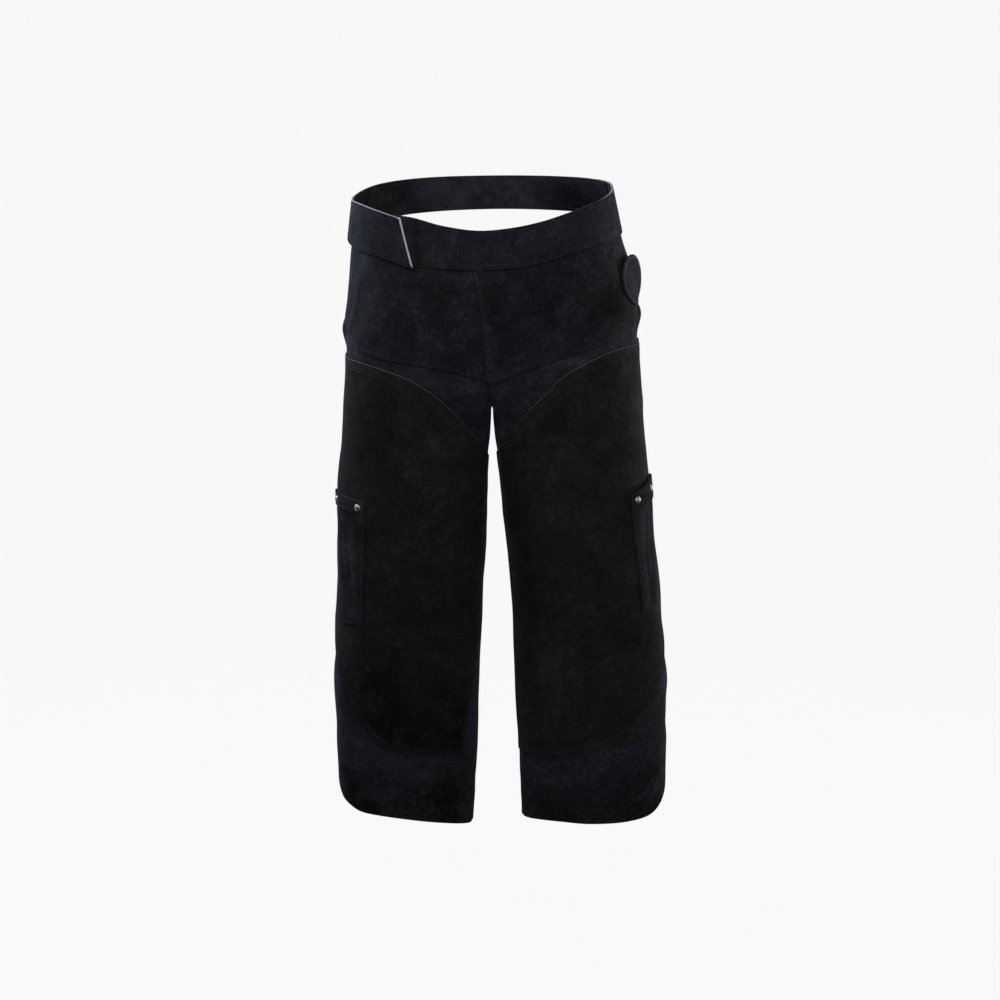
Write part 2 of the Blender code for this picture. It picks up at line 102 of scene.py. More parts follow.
# Cross-sections of each leg: inner and outer side, front, and half the depth.
LEG_COLUMNS = ("height", "inner", "outer", "front", "depth")
LEGS = {
    RIGHT: Table(
        LEG_COLUMNS,
        (
            (-860, -14, -203, -82, 64),
            (-780, -9, -204.5, -87, 68),
            (-700, -5, -206.5, -93, 74),
            (-640, -4.2, -209, -98, 78),
            (-580, -1.2, -205, -104, 82),
            (-500, 2.3, -201, -112, 86),
            (-420, 6.6, -199, -118, 90),
            (-340, 7.5, -196, -120, 92),
            (-260, 12, -190, -118, 92),
        ),
    ),
    LEFT: Table(
        LEG_COLUMNS,
        (
            (-860, 50, 253, -82, 64),
            (-780, 47, 254, -87, 68),
            (-700, 44, 252.5, -93, 74),
            (-640, 40.6, 253, -98, 78),
            (-580, 39.3, 246, -104, 82),
            (-500, 35.4, 240, -112, 86),
            (-420, 27, 231, -118, 90),
            (-340, 18.4, 225.5, -120, 92),
            (-260, 11, 217, -118, 92),
        ),
    ),
}
LEG_SQUARENESS = 2.3
# Heights between which the hips turn into two legs, at the seam and at the outside.
SPLIT_AT_SEAM, SPLIT_OUTSIDE = (-195, -340), (-90, -420)
# Angles round the hips and round a leg that a leg panel reaches, from the front.
HIP_REACH, LEG_INNER_REACH, LEG_OUTER_REACH = 98, -68, 98
# Where the front seam runs, from the belt to the crotch.
SEAM = Table(
    ("height", "across"),
    ((-260, 11), (-210, 11), (-180, 8.5), (-139, 4.5), (-98, -1), (-60, -7.5), (0, -12)),
)


def ease(start, end, at):
    """0 at start, 1 at end, and a smooth step between."""
    t = np.clip((at - start) / (end - start), 0, 1)
    return t * t * (3 - 2 * t)


def mix(a, b, share):
    return a + (b - a) * share


def bump(at, middle, half_width):
    return np.exp(-(((at - middle) / half_width) ** 2))


def rounded_square(angle, squareness):
    """A point of a circle of radius 1 whose corners are squared out; 2 leaves it a circle."""
    sine, cosine = np.sin(angle), np.cos(angle)
    reach = (abs(sine) ** squareness + abs(cosine) ** squareness) ** (-1 / squareness)
    return reach * sine, reach * cosine


def torso_point(angle, height):
    """A point of the hips; the angle is 0 at the front and grows towards the wearer's left."""
    right, left = TORSO.read("right", height), TORSO.read("left", height)
    front, back = TORSO.read("front", height), TORSO.read("back", height)
    sine, cosine = rounded_square(angle, TORSO.read("squareness", height))
    across = (left + right) / 2 + (left - right) / 2 * sine
    deep = (front + back) / 2 - (back - front) / 2 * cosine
    return np.stack((across, deep, height + 0 * across), axis=-1)


def leg_point(side, angle, height):
    """A point of a leg; the angle is 0 at the front and grows round the outside."""
    leg = LEGS[side]
    inner, outer = leg.read("inner", height), leg.read("outer", height)
    front, depth = leg.read("front", height), leg.read("depth", height)
    sine, cosine = rounded_square(angle, LEG_SQUARENESS)
    across = (inner + outer) / 2 + (outer - inner) / 2 * sine
    return np.stack((across, front + depth * (1 - cosine), height + 0 * across), axis=-1)


def seam_angle(height):
    """The angle round the hips at which the front seam lies."""
    middle = (TORSO.read("left", height) + TORSO.read("right", height)) / 2
    half = (TORSO.read("left", height) - TORSO.read("right", height)) / 2
    return np.arcsin((SEAM.read("across", height) - middle) / half)


def body_point(side, share, height):
    """A point under one side's leather; share is 0 at its inner edge and 1 at its outer edge."""
    hip_angle = mix(seam_angle(height), side * math.radians(HIP_REACH), share)
    leg_angle = np.radians(mix(LEG_INNER_REACH, LEG_OUTER_REACH, share))
    outside = ease(0, 0.5, share)
    top = mix(SPLIT_AT_SEAM[0], SPLIT_OUTSIDE[0], outside)
    bottom = mix(SPLIT_AT_SEAM[1], SPLIT_OUTSIDE[1], outside)
    split = ease(top, bottom, height)[..., None]
    return mix(torso_point(hip_angle, height), leg_point(side, leg_angle, height), split)


# The pieces' sizes
# Leather thicknesses, and how far from the body each piece's inner face lies.
PANEL_THICKNESS, BELT_THICKNESS, PATCH_THICKNESS = 2.0, 2.6, 1.6
PIECE_GAP, PATCH_GAP = 0.5, 0.9
LEG_PANEL_AT = 0.0
HIP_PANEL_AT = LEG_PANEL_AT + PANEL_THICKNESS + PIECE_GAP
WAISTBAND_AT = HIP_PANEL_AT + PANEL_THICKNESS + PIECE_GAP
STRAP_FRONT_AT = WAISTBAND_AT + BELT_THICKNESS + PIECE_GAP + 0.1
PATCH_AT = LEG_PANEL_AT + PANEL_THICKNESS + PATCH_GAP
POCKET_AT = PATCH_AT + PATCH_THICKNESS + PIECE_GAP + 0.1
POCKET_THICKNESS, POCKET_FULLNESS, POCKET_FOLD_GAP = 1.6, 2.6, 0.5
POCKET_RISE, POCKET_DENT = 3.2, 3.1
RIVET_RADIUS, RIVET_HEIGHT = 5.0, 1.9
BADGE_RADIUS, BADGE_THICKNESS, BADGE_AT = 35, 2.4, WAISTBAND_AT + 0.7
# The badge is a stiff disc that stands upright: its middle, the way it faces in degrees from
# the front, how far behind it lies the line that it is set out from, and how softly it turns.
BADGE_MIDDLE, BADGE_FACING, BADGE_SPREAD, BADGE_EASE = (202.4, -27.5, -79), 66, 200, 2
HIP_PANEL_TUCK, LEG_PANEL_TUCK = 24, 24
# The left hip panel laps over the right one at the front seam.
SEAM_LAP, SEAM_LIFT, HIP_MM_PER_SHARE = 5, 2.25, 325

# The band's and the strap's edges by the angle round the hips.
WAISTBAND_ANGLES = (-70, 118)
WAISTBAND = Table(
    ("angle", "top", "bottom"),
    (
        (-75, 22, -36),
        (-52, 15, -42),
        (-33, 11, -53),
        (-18, 0, -57),
        (-3, -6, -58),
        (12, -2, -55),
        (25, 6, -47),
        (36, 15, -37),
        (55, 29, -25),
        (75, 40, -19),
        (95, 49, -13),
        (120, 54, -3),
    ),
)
# The strap starts at its cut end over the band and ends inside the band's other end.
STRAP = Table(
    ("angle", "top", "bottom", "face"),
    (
        (-256, 51, -2, 1.9),
        (-236, 55, 5, 1.9),
        (-210, 57, 9, 1.8),
        (-180, 57, 9.5, 1.8),
        (-150, 54.3, 5, 1.8),
        (-125, 47.2, -4, 3.2),
        (-105, 37, -14, 5.5),
        (-90, 30, -22, STRAP_FRONT_AT),
        (-67, 26, -34, STRAP_FRONT_AT),
        (-50, 18, -41, STRAP_FRONT_AT),
        (-38, 10, -51, STRAP_FRONT_AT),
        (-28, 7, -60, STRAP_FRONT_AT),
    ),
)
STRAP_START, STRAP_END_TOP, STRAP_END_BOTTOM = -254, -37.4, -30.3

# The hip panels' outer edge by height, and their lower edge from the seam outwards.
HIP_OUTER = Table(
    ("height", "share"), ((-150, 0.9), (-125, 0.905), (-95, 0.94), (-65, 1.01), (-30, 1.04), (0, 1.05))
)
HIP_LOWER = {
    RIGHT: Table(
        ("share", "height"),
        (
            (0, -209.5),
            (0.085, -201.7),
            (0.162, -195.2),
            (0.283, -187.8),
            (0.438, -181.4),
            (0.58, -173),
            (0.652, -165),
            (0.7, -153),
            (0.78, -142),
            (0.92, -134),
            (1.06, -130),
        ),
    ),
    LEFT: Table(
        ("share", "height"),
        (
            (0, -209.5),
            (0.113, -196.4),
            (0.235, -182),
            (0.357, -169.5),
            (0.465, -160.2),
            (0.565, -150),
            (0.69, -141),
            (0.815, -134.7),
            (1.06, -128),
        ),
    ),
}
# The leg panels' upper and lower edges.
LEG_PANEL_OUTER = 1.07
LEG_UPPER = {
    RIGHT: Table(("share", "height"), ((0.8, -119), (0.9, -120), (0.98, -127), (1.07, -146))),
    LEFT: Table(("share", "height"), ((0.8, -114), (0.9, -112), (0.98, -116), (1.07, -134))),
}
LEG_LOWER = {
    RIGHT: Table(
        ("share", "height"),
        (
            (0, -836),
            (0.03, -840),
            (0.065, -840),
            (0.247, -833.4),
            (0.355, -829.4),
            (0.44, -826.6),
            (0.54, -823),
            (0.65, -818.8),
            (0.712, -812.8),
            (0.79, -803.5),
            (0.84, -793),
            (0.92, -774),
            (1.0, -735),
            (1.07, -690),
        ),
    ),
    LEFT: Table(
        ("share", "height"),
        (
            (0, -828),
            (0.04, -831.5),
            (0.165, -831.3),
            (0.26, -831.6),
            (0.393, -834.2),
            (0.54, -832.6),
            (0.64, -829.2),
            (0.688, -826.4),
            (0.742, -820.5),
            (0.842, -803.8),
            (0.922, -786),
            (1.0, -752),
            (1.07, -705),
        ),
    ),
}
# The thigh patches' edges.
PATCH_OUTER = 1.0
PATCH_UPPER = {
    RIGHT: Table(
        ("share", "height"),
        (
            (0, -317),
            (0.067, -298),
            (0.12, -280),
            (0.157, -261.5),
            (0.21, -240.7),
            (0.263, -224.4),
            (0.338, -208.6),
            (0.445, -196.3),
            (0.585, -188),
            (0.785, -184.3),
            (1.02, -181),
        ),
    ),
    LEFT: Table(
        ("share", "height"),
        (
            (0, -312),
            (0.06, -295),
            (0.12, -273),
            (0.175, -247.5),
            (0.228, -227),
            (0.28, -206.8),
            (0.34, -193.7),
            (0.45, -177.5),
            (0.562, -168.7),
            (0.75, -165.9),
            (1.02, -162),
        ),
    ),
}
PATCH_LOWER = {
    RIGHT: Table(
        ("share", "height"),
        (
            (0.12, -733),
            (0.15, -736.4),
            (0.245, -733.4),
            (0.37, -730.4),
            (0.435, -728.9),
            (0.515, -723.7),
            (0.592, -709),
            (0.647, -684),
            (0.698, -662.3),
            (0.75, -643.3),
            (0.802, -613.3),
            (0.9, -575),
            (1.02, -540),
        ),
    ),
    LEFT: Table(
        ("share", "height"),
        (
            (0, -731),
            (0.042, -735.8),
            (0.218, -735.5),
            (0.345, -730.5),
            (0.49, -722),
            (0.59, -717),
            (0.63, -710),
            (0.662, -697),
            (0.725, -666.5),
            (0.775, -640.5),
            (0.87, -600),
            (1.02, -552),
        ),
    ),
}
PATCH_INNER = {
    RIGHT: Table(
        ("height", "share"),
        ((-738, 0.14), (-702, 0.118), (-632, 0.065), (-547, 0.035), (-420, 0.015), (-316, 0.006)),
    ),
    LEFT: Table(("height", "share"), ((-738, 0.008), (-316, 0.006))),
}
# The pockets' corners, and how deep the folded band at the top is.
POCKETS = {
    RIGHT: {
        "inner": (0.63, 0.635),
        "outer": (0.865, 0.775),
        "top": (-375, -366.5),
        "bottom": (-547.5, -551),
        "band": 17,
        "rivets": ((0.656, -382.4), (0.812, -376.5)),
    },
    LEFT: {
        "inner": (0.665, 0.68),
        "outer": (0.86, 0.787),
        "top": (-366.5, -345.5),
        "bottom": (-531.5, -528.5),
        "band": 26,
        "rivets": ((0.688, -373.5), (0.797, -361.4)),
    },
}
# Soft dents and folds in the leather: middle, half width and height out of the surface.
FOLD_COLUMNS = ("share", "height", "lean", "half_width", "half_length", "out")
FOLDS = {
    RIGHT: (
        (0.7, -112, -0.0028, 0.08, 34, 1.5),
        (0.5, -270, 0, 0.16, 110, -2.5),
        (0.3, -430, 0.0002, 0.16, 150, 2.5),
        (0.62, -640, 0.0003, 0.14, 120, -2.5),
        (0.36, -760, -0.0006, 0.14, 80, -2.5),
        (0.72, -470, 0, 0.04, 60, -1.2),
        (0.98, -200, 0, 0.14, 24, -3.2),
        (0.95, -345, 0, 0.12, 50, 2.6),
    ),
    LEFT: (
        (0.5, -290, 0, 0.16, 110, -2.5),
        (0.3, -450, -0.0002, 0.16, 150, 2.5),
        (0.62, -620, -0.0004, 0.14, 120, -2.5),
        (0.4, -770, 0.0005, 0.16, 70, -2.5),
        (0.95, -255, 0, 0.1, 26, 1.6),
        (0.95, -632, 0, 0.08, 26, 2.6),
        (0.95, -728, 0, 0.08, 24, 2.8),
        (0.92, -63, 0, 0.14, 26, 4),
        (0.5, -120, 0.001, 0.16, 55, -2),
    ),
}
# Raised creases: height, half width and the line's places, in mm from the seam and upwards.
HIP_CREASES = {
    RIGHT: (
        (2.2, 2.9, ((195, -78), (201, -98), (208, -118), (222, -139), (240, -158))),
        (1.1, 5, ((234, -72), (244, -100), (260, -130))),
    ),
    LEFT: ((1.0, 7, ((162, -60), (150, -90), (146, -120))),),
}
ROLLED_EDGE = ((1.7, 4, ((11.4, -226), (13, -238), (13.7, -272), (13, -292))),)
CROTCH_LAP = 3
# Each leg panel's upper corner turns out past the hip panel.
CORNER_OUT = {RIGHT: (-148, 8.5), LEFT: (-127, 9.5)}


def drape(side, share, height):
    """How far folds push the leather out of the smooth body surface."""
    out = 0
    for row in FOLDS[side]:
        fold = dict(zip(FOLD_COLUMNS, row))
        middle = fold["share"] + fold["lean"] * (height - fold["height"])
        across = (share - middle) / fold["half_width"]
        along = (height - fold["height"]) / fold["half_length"]
        out = out + fold["out"] * np.exp(-across * across - along * along)
    return out


# Long waves in the leather, shared by its layers: direction, length, phase and height.
WAVES = (
    (0.3, 132, 0.4, 0.34),
    (1.25, 88, 2.1, 0.30),
    (-0.7, 61, 4.4, 0.22),
    (0.85, 43, 1.3, 0.15),
    (-1.3, 35, 5.2, 0.12),
)


def waves(across, height, low):
    """Small waves over a surface, both sizes in mm; they fade out above a height."""
    out = 0
    for direction, length, phase, size in WAVES:
        along = across * math.cos(direction) + height * math.sin(direction)
        slow = 0.7 + 0.6 * np.sin(along / (2.3 * length) + 2 * phase)
        out = out + size * slow * np.sin(2 * math.pi * along / length + phase)
    return out * ease(low, low - 30, height)


def strokes(rows, across, height):
    """Adds up soft strokes on a surface: size, half width and the places of its line."""
    out = 0 * across
    for size, half_width, places in rows:
        places = np.array(places, float)
        nearest = np.hypot(across - places[-1][0], height - places[-1][1])
        for start, end in zip(places, places[1:]):
            run = end - start
            at = ((across - start[0]) * run[0] + (height - start[1]) * run[1]) / (run @ run)
            at = np.clip(at, 0, 1)
            gap = np.hypot(across - start[0] - at * run[0], height - start[1] - at * run[1])
            nearest = np.minimum(nearest, gap)
        out = out + size * np.exp(-((nearest / half_width) ** 2))
    return out


def corner_out(side, share, height):
    middle, out = CORNER_OUT[side]
    return out * ease(0.93, 1.0, share) * np.exp(-(((height - middle) / 22) ** 2))


def unit(vectors):
    return vectors / np.maximum(np.linalg.norm(vectors, axis=-1, keepdims=True), 1e-9)


def skin(side, share, height, offset):
    """Points that far outside one side's body surface, folds included."""
    across = body_point(side, share + 0.003, height) - body_point(side, share - 0.003, height)
    along = body_point(side, share, height + 1) - body_point(side, share, height - 1)
    normal = unit(np.cross(across, along)) * side
    out = offset + drape(side, share, height) + waves(side * (60 + 300 * share), height, -62)
    return body_point(side, share, height) + normal * out[..., None]


def belt_skin(angle, height, offset):
    """Points that far outside the hips, at an angle round them in degrees."""
    at = np.radians(angle)
    across = torso_point(at + 0.01, height) - torso_point(at - 0.01, height)
    along = torso_point(at, height + 1) - torso_point(at, height - 1)
    ripple = 0.22 * np.sin(angle / 9 + height / 23) * np.sin(angle / 23 + 1)
    out = offset + ripple + 0 * height
    return torso_point(at, height) + unit(np.cross(across, along)) * out[..., None]


# Where each leather piece lies: functions of (0 to 1 across, 0 to 1 down)


def hip_panel_place(side):
    lower, lap = HIP_LOWER[side], SEAM_LAP / HIP_MM_PER_SHARE

    def place(u, v):
        share, height = u, 0 * u
        for _ in range(6):
            angle = np.degrees(seam_angle(height)) * (1 - share) + side * HIP_REACH * share
            top = WAISTBAND.read("bottom", angle) + HIP_PANEL_TUCK
            height = mix(top, lower.read("height", share), v)
            share = u * (HIP_OUTER.read("share", height) + lap) - lap
        from_edge = (share + lap) * HIP_MM_PER_SHARE
        lift = 0.8 * ease(0.55, 0.75, share) * ease(-80, -115, height)
        if side == LEFT:
            raised = SEAM_LIFT + 0.5 * bump(from_edge, SEAM_LAP, 3.5)
            lift = lift + raised * ease(2 * SEAM_LAP + 6, 2 * SEAM_LAP, from_edge)
        lift = lift + strokes(HIP_CREASES[side], share * HIP_MM_PER_SHARE, height)
        return skin(side, share, height, HIP_PANEL_AT + PANEL_THICKNESS / 2 + lift)

    return place


def leg_panel_place(side):
    upper, lower, hip = LEG_UPPER[side], LEG_LOWER[side], HIP_LOWER[side]

    def place(u, v):
        # At the crotch the two leg panels reach past each other, the left one in front.
        height = mix(-200, -830, v)
        lap = CROTCH_LAP * ease(-245, -238, height) / HIP_MM_PER_SHARE
        share = u * (LEG_PANEL_OUTER + lap) - lap
        tucked = hip.read("height", share) + LEG_PANEL_TUCK
        top = mix(tucked, upper.read("height", share), ease(0.7, 0.9, share))
        height = mix(top, lower.read("height", share), v)
        lap = CROTCH_LAP * ease(-246, -240, height) / HIP_MM_PER_SHARE
        share = u * (LEG_PANEL_OUTER + lap) - lap
        pressed = ease(0.65, 0.8, share) * ease(0.96, 0.92, share) * ease(-165, -145, height)
        offset = LEG_PANEL_AT + PANEL_THICKNESS / 2 - 0.5 * pressed
        if side == RIGHT:
            offset = offset - 2.1 * ease(0.035, 0.012, share) * ease(-252, -240, height)
        else:
            offset = offset + strokes(ROLLED_EDGE, share * HIP_MM_PER_SHARE, height)
        return skin(side, share, height, offset + corner_out(side, share, height))

    return place


def thigh_patch_place(side):
    upper, lower, inner = PATCH_UPPER[side], PATCH_LOWER[side], PATCH_INNER[side]

    def place(u, v):
        share, height = u, 0 * u
        for _ in range(6):
            height = mix(upper.read("height", share), lower.read("height", share), v)
            share = mix(inner.read("share", height), PATCH_OUTER, u)
        lift = 0.6 * np.exp(-(((share - 0.15) / 0.1) ** 2) - ((height + 290) / 60) ** 2)
        lift = lift + 0.7 * ease(0.55, 0.7, share) * ease(-560, -600, height)
        return skin(side, share, height, PATCH_AT + PATCH_THICKNESS / 2 + lift)

    return place


def pocket_place(side):
    """The pouch lies flat on the patch at three edges and its top folds over outwards."""
    sizes = POCKETS[side]
    middle = POCKET_AT + POCKET_THICKNESS / 2
    turn = (POCKET_THICKNESS + POCKET_FOLD_GAP) / 2

    def place(u, v):
        top, bottom = mix(*sizes["top"], u), mix(*sizes["bottom"], u)
        length = top - bottom
        gone = v * (sizes["band"] + math.pi * turn + length - turn)
        bend = np.clip((gone - sizes["band"]) / turn, 0, math.pi)
        down = turn * (1 - np.sin(bend)) + np.maximum(0, sizes["band"] - gone)
        down = down + np.maximum(0, gone - sizes["band"] - math.pi * turn)
        out = turn * (1 + np.cos(bend))
        below = np.clip(down / length, 0, 1)
        share = mix(mix(*sizes["inner"], below), mix(*sizes["outer"], below), u)
        belly = np.sin(math.pi * np.clip(u, 0, 1)) ** 0.5 * np.cos(math.pi / 2 * below) ** 0.6
        middle_line = 0.5 + 0.06 * np.sin(below * 7 + side)
        dent = bump(u, middle_line, 0.24) * ease(0.12, 0.24, below) * ease(1, 0.88, below)
        dent = dent - 0.4 * bump(u, middle_line + 0.04, 0.06) * bump(below, 0.55, 0.3)
        belly = POCKET_RISE * belly - POCKET_DENT * dent
        return skin(side, share, top - down, middle + out + belly)

    return place


def waistband_place(u, v):
    angle = mix(*WAISTBAND_ANGLES, u)
    height = mix(WAISTBAND.read("top", angle), WAISTBAND.read("bottom", angle), v)
    return belt_skin(angle, height, WAISTBAND_AT + BELT_THICKNESS / 2)


def belt_strap_place(u, v):
    angle = mix(STRAP_START, mix(STRAP_END_TOP, STRAP_END_BOTTOM, v), u)
    height = mix(STRAP.read("top", angle), STRAP.read("bottom", angle), v)
    return belt_skin(angle, height, STRAP.read("face", angle) + BELT_THICKNESS / 2)


# Building meshes


def mesh_object(name, points, faces, looks, face_looks=None):
    """Makes a smooth mesh from points in mm and faces, with a material number per face."""
    mesh = bpy.data.meshes.new(name)
    mesh.from_pydata((np.asarray(points) * MM).tolist(), [], faces)
    mesh.polygons.foreach_set("use_smooth", np.ones(len(faces), bool))
    for look in looks:
        mesh.materials.append(look)
    if face_looks is not None:
        mesh.polygons.foreach_set("material_index", np.asarray(face_looks, np.int32))
    mesh.validate()
    mesh.update()
    made = bpy.data.objects.new(name, mesh)
    bpy.context.scene.collection.objects.link(made)
    return made


def grid_lines(length, step, near=12, near_step=1.0):
    """Places from 0 to 1 for grid lines on a length in mm, closer together near both ends."""
    start = np.concatenate(([0, 0.4], np.arange(near_step, near, near_step)))
    between = np.linspace(near, length - near, max(2, round((length - 2 * near) / step) + 1))
    return np.concatenate((start, between, length - start[::-1])) / length


def grid_faces(rows, columns, first=0):
    at = first + np.arange(rows * columns).reshape(rows, columns)
    corners = (at[:-1, :-1], at[1:, :-1], at[1:, 1:], at[:-1, 1:])
    return np.stack([corner.ravel() for corner in corners], axis=1)


def rim_of(rows, columns):
    """Grid positions once round the edge of a grid, and the position just inside each."""
    down = [(0, c) for c in range(columns)] + [(r, columns - 1) for r in range(1, rows)]
    back = [(rows - 1, c) for c in range(columns - 2, -1, -1)]
    up = [(r, 0) for r in range(rows - 2, 0, -1)]
    ring = np.array(down + back + up)
    inside = np.stack(
        (np.clip(ring[:, 0], 1, rows - 2), np.clip(ring[:, 1], 1, columns - 2)), axis=1
    )
    return ring, inside


# Marks in the leather's colour: size, half width and the places of a line, which are mm across and up,
# or on the belt mm round the hips from the front and up. Marks above 0 are paler, for real rubbing and
# for painted highlights; marks below 0 are darker, for painted shade and painted shadow.
WEAR_AND_PAINTED_LIGHT = {
    "hip_right": (
        # Painted highlight: a pale line where light catches the crease at the right hip.
        (0.5, 3, ((-173, -100), (-178, -119), (-184, -140), (-190, -158))),
        (0.16, 3, ((-167, -168), (-134, -180), (-86, -188), (-46, -196))),
        # Painted shade: the right hip darker over a broad patch.
        (-0.34, 60, ((-110, -110), (-50, -150), (-20, -170))),
    ),
    "hip_left": (
        # Painted shade: the outer side of the left hip and a broad patch across it darker.
        (-0.62, 26, ((183, -54), (175, -106), (179, -141))),
        (-0.42, 60, ((30, -120), (90, -120), (160, -110))),
        (0.4, 2.4, ((-10, -64), (-1, -98), (4, -135), (11, -190))),
        (0.22, 2.5, ((40, -195), (104, -164), (165, -148))),
    ),
    "leg_right": (
        # Painted shade: darker towards the hem, down the outer edge and above the hem's middle.
        (-0.9, 52, ((-187, -806), (-117, -815), (-27, -820))),
        (-0.62, 24, ((-207, -680), (-205, -815))),
        (-0.3, 16, ((-71, -780), (-37, -780))),
        (0.4, 10, ((-170, -789), (-124, -793))),
        # Painted shadow: a dark line down the inner edge where the left panel laps over it, and
        # painted shade between the legs.
        (-0.7, 2.6, ((10.5, -228), (11, -246))),
        (-0.2, 30, ((-40, -240), (-10, -260))),
        (0.2, 5, ((-150, -196), (-110, -206), (-60, -210))),
    ),
    "leg_left": (
        # Painted shade: darker towards the hem and down the outer edge.
        (-0.66, 50, ((57, -815), (134, -822), (217, -812))),
        (-0.75, 24, ((256, -680), (256, -815))),
        (0.4, 7, ((88, -186), (141, -180))),
        (0.4, 1.6, ((60, -201), (104, -199))),
        # Painted highlights: where light catches a crease and the rolled inner edge at the crotch.
        (0.45, 1.6, ((12, -227), (23, -234))),
        (0.35, 1.8, ((26, -240), (25.5, -290))),
        # Painted shade between the legs.
        (-0.22, 30, ((50, -230), (80, -240))),
    ),
    "patch_right": (
        # Painted shade: darker over a broad patch and towards the bottom, and a painted shadow along
        # the inner edge by the slit.
        (-0.34, 70, ((-140, -300), (-80, -420), (-110, -560))),
        (-0.85, 60, ((-165, -655), (-117, -700), (-40, -710))),
        (-0.32, 9, ((0, -330), (-6, -460), (-18, -650), (-30, -720))),
    ),
    "patch_left": (
        # Painted highlight: a lit rim down the outer side.
        (0.2, 14, ((216, -250), (230, -385), (240, -526))),
        # Painted shade: darker at the top, at the bottom and along the inner side.
        (-0.26, 50, ((100, -250), (190, -300))),
        (-0.24, 44, ((90, -700), (190, -690))),
        (-0.3, 26, ((56, -420), (60, -640))),
    ),
    # Painted shade: each pocket darker at its outer side.
    "pouch_right": ((-0.7, 36, ((-190, -400), (-190, -560))),),
    "pouch_left": ((-0.5, 34, ((236, -380), (236, -540))),),
    "strap": (
        # Painted light: the middle of the strap's inner face lighter.
        (0.62, 40, ((-540, 34), (-400, 34))),
        # Painted shade: the strap darker towards the ends of its back and over a patch at its front.
        (-0.7, 24, ((-250, 20), (-320, 32))),
        (-0.6, 22, ((-598, 34), (-585, 34))),
        (-0.7, 30, ((250, 20), (338, 34))),
        (-0.2, 20, ((-170, -6), (-140, -10))),
    ),
    "band": (
        # Painted shadow: the band darker in a line beside the strap's cut end.
        (-0.6, 3.5, ((-104, 10), (-101, -25), (-93, -56))),
        # Painted highlight: the band lighter at its end on the wearer's left.
        (0.2, 18, ((235, 20), (245, 10))),
    ),
}
MM_PER_DEGREE = 2.6


def wear(name, points):
    """How much paler (up to 1) or darker (down to -1) a piece is at each of its points: paler for
    rubbing and painted highlights, darker for painted shade.
    """
    piece = name.replace("_leather", "")
    across, behind, height = points[..., 0], points[..., 1], points[..., 2]
    if piece in ("strap", "band"):
        turn = np.degrees(np.arctan2(across, -behind))
        turn = np.where((turn > 130) & (piece == "strap"), turn - 360, turn)
        across = turn * MM_PER_DEGREE
    return np.clip(strokes(WEAR_AND_PAINTED_LIGHT.get(piece, ()), across, height), -1, 1)


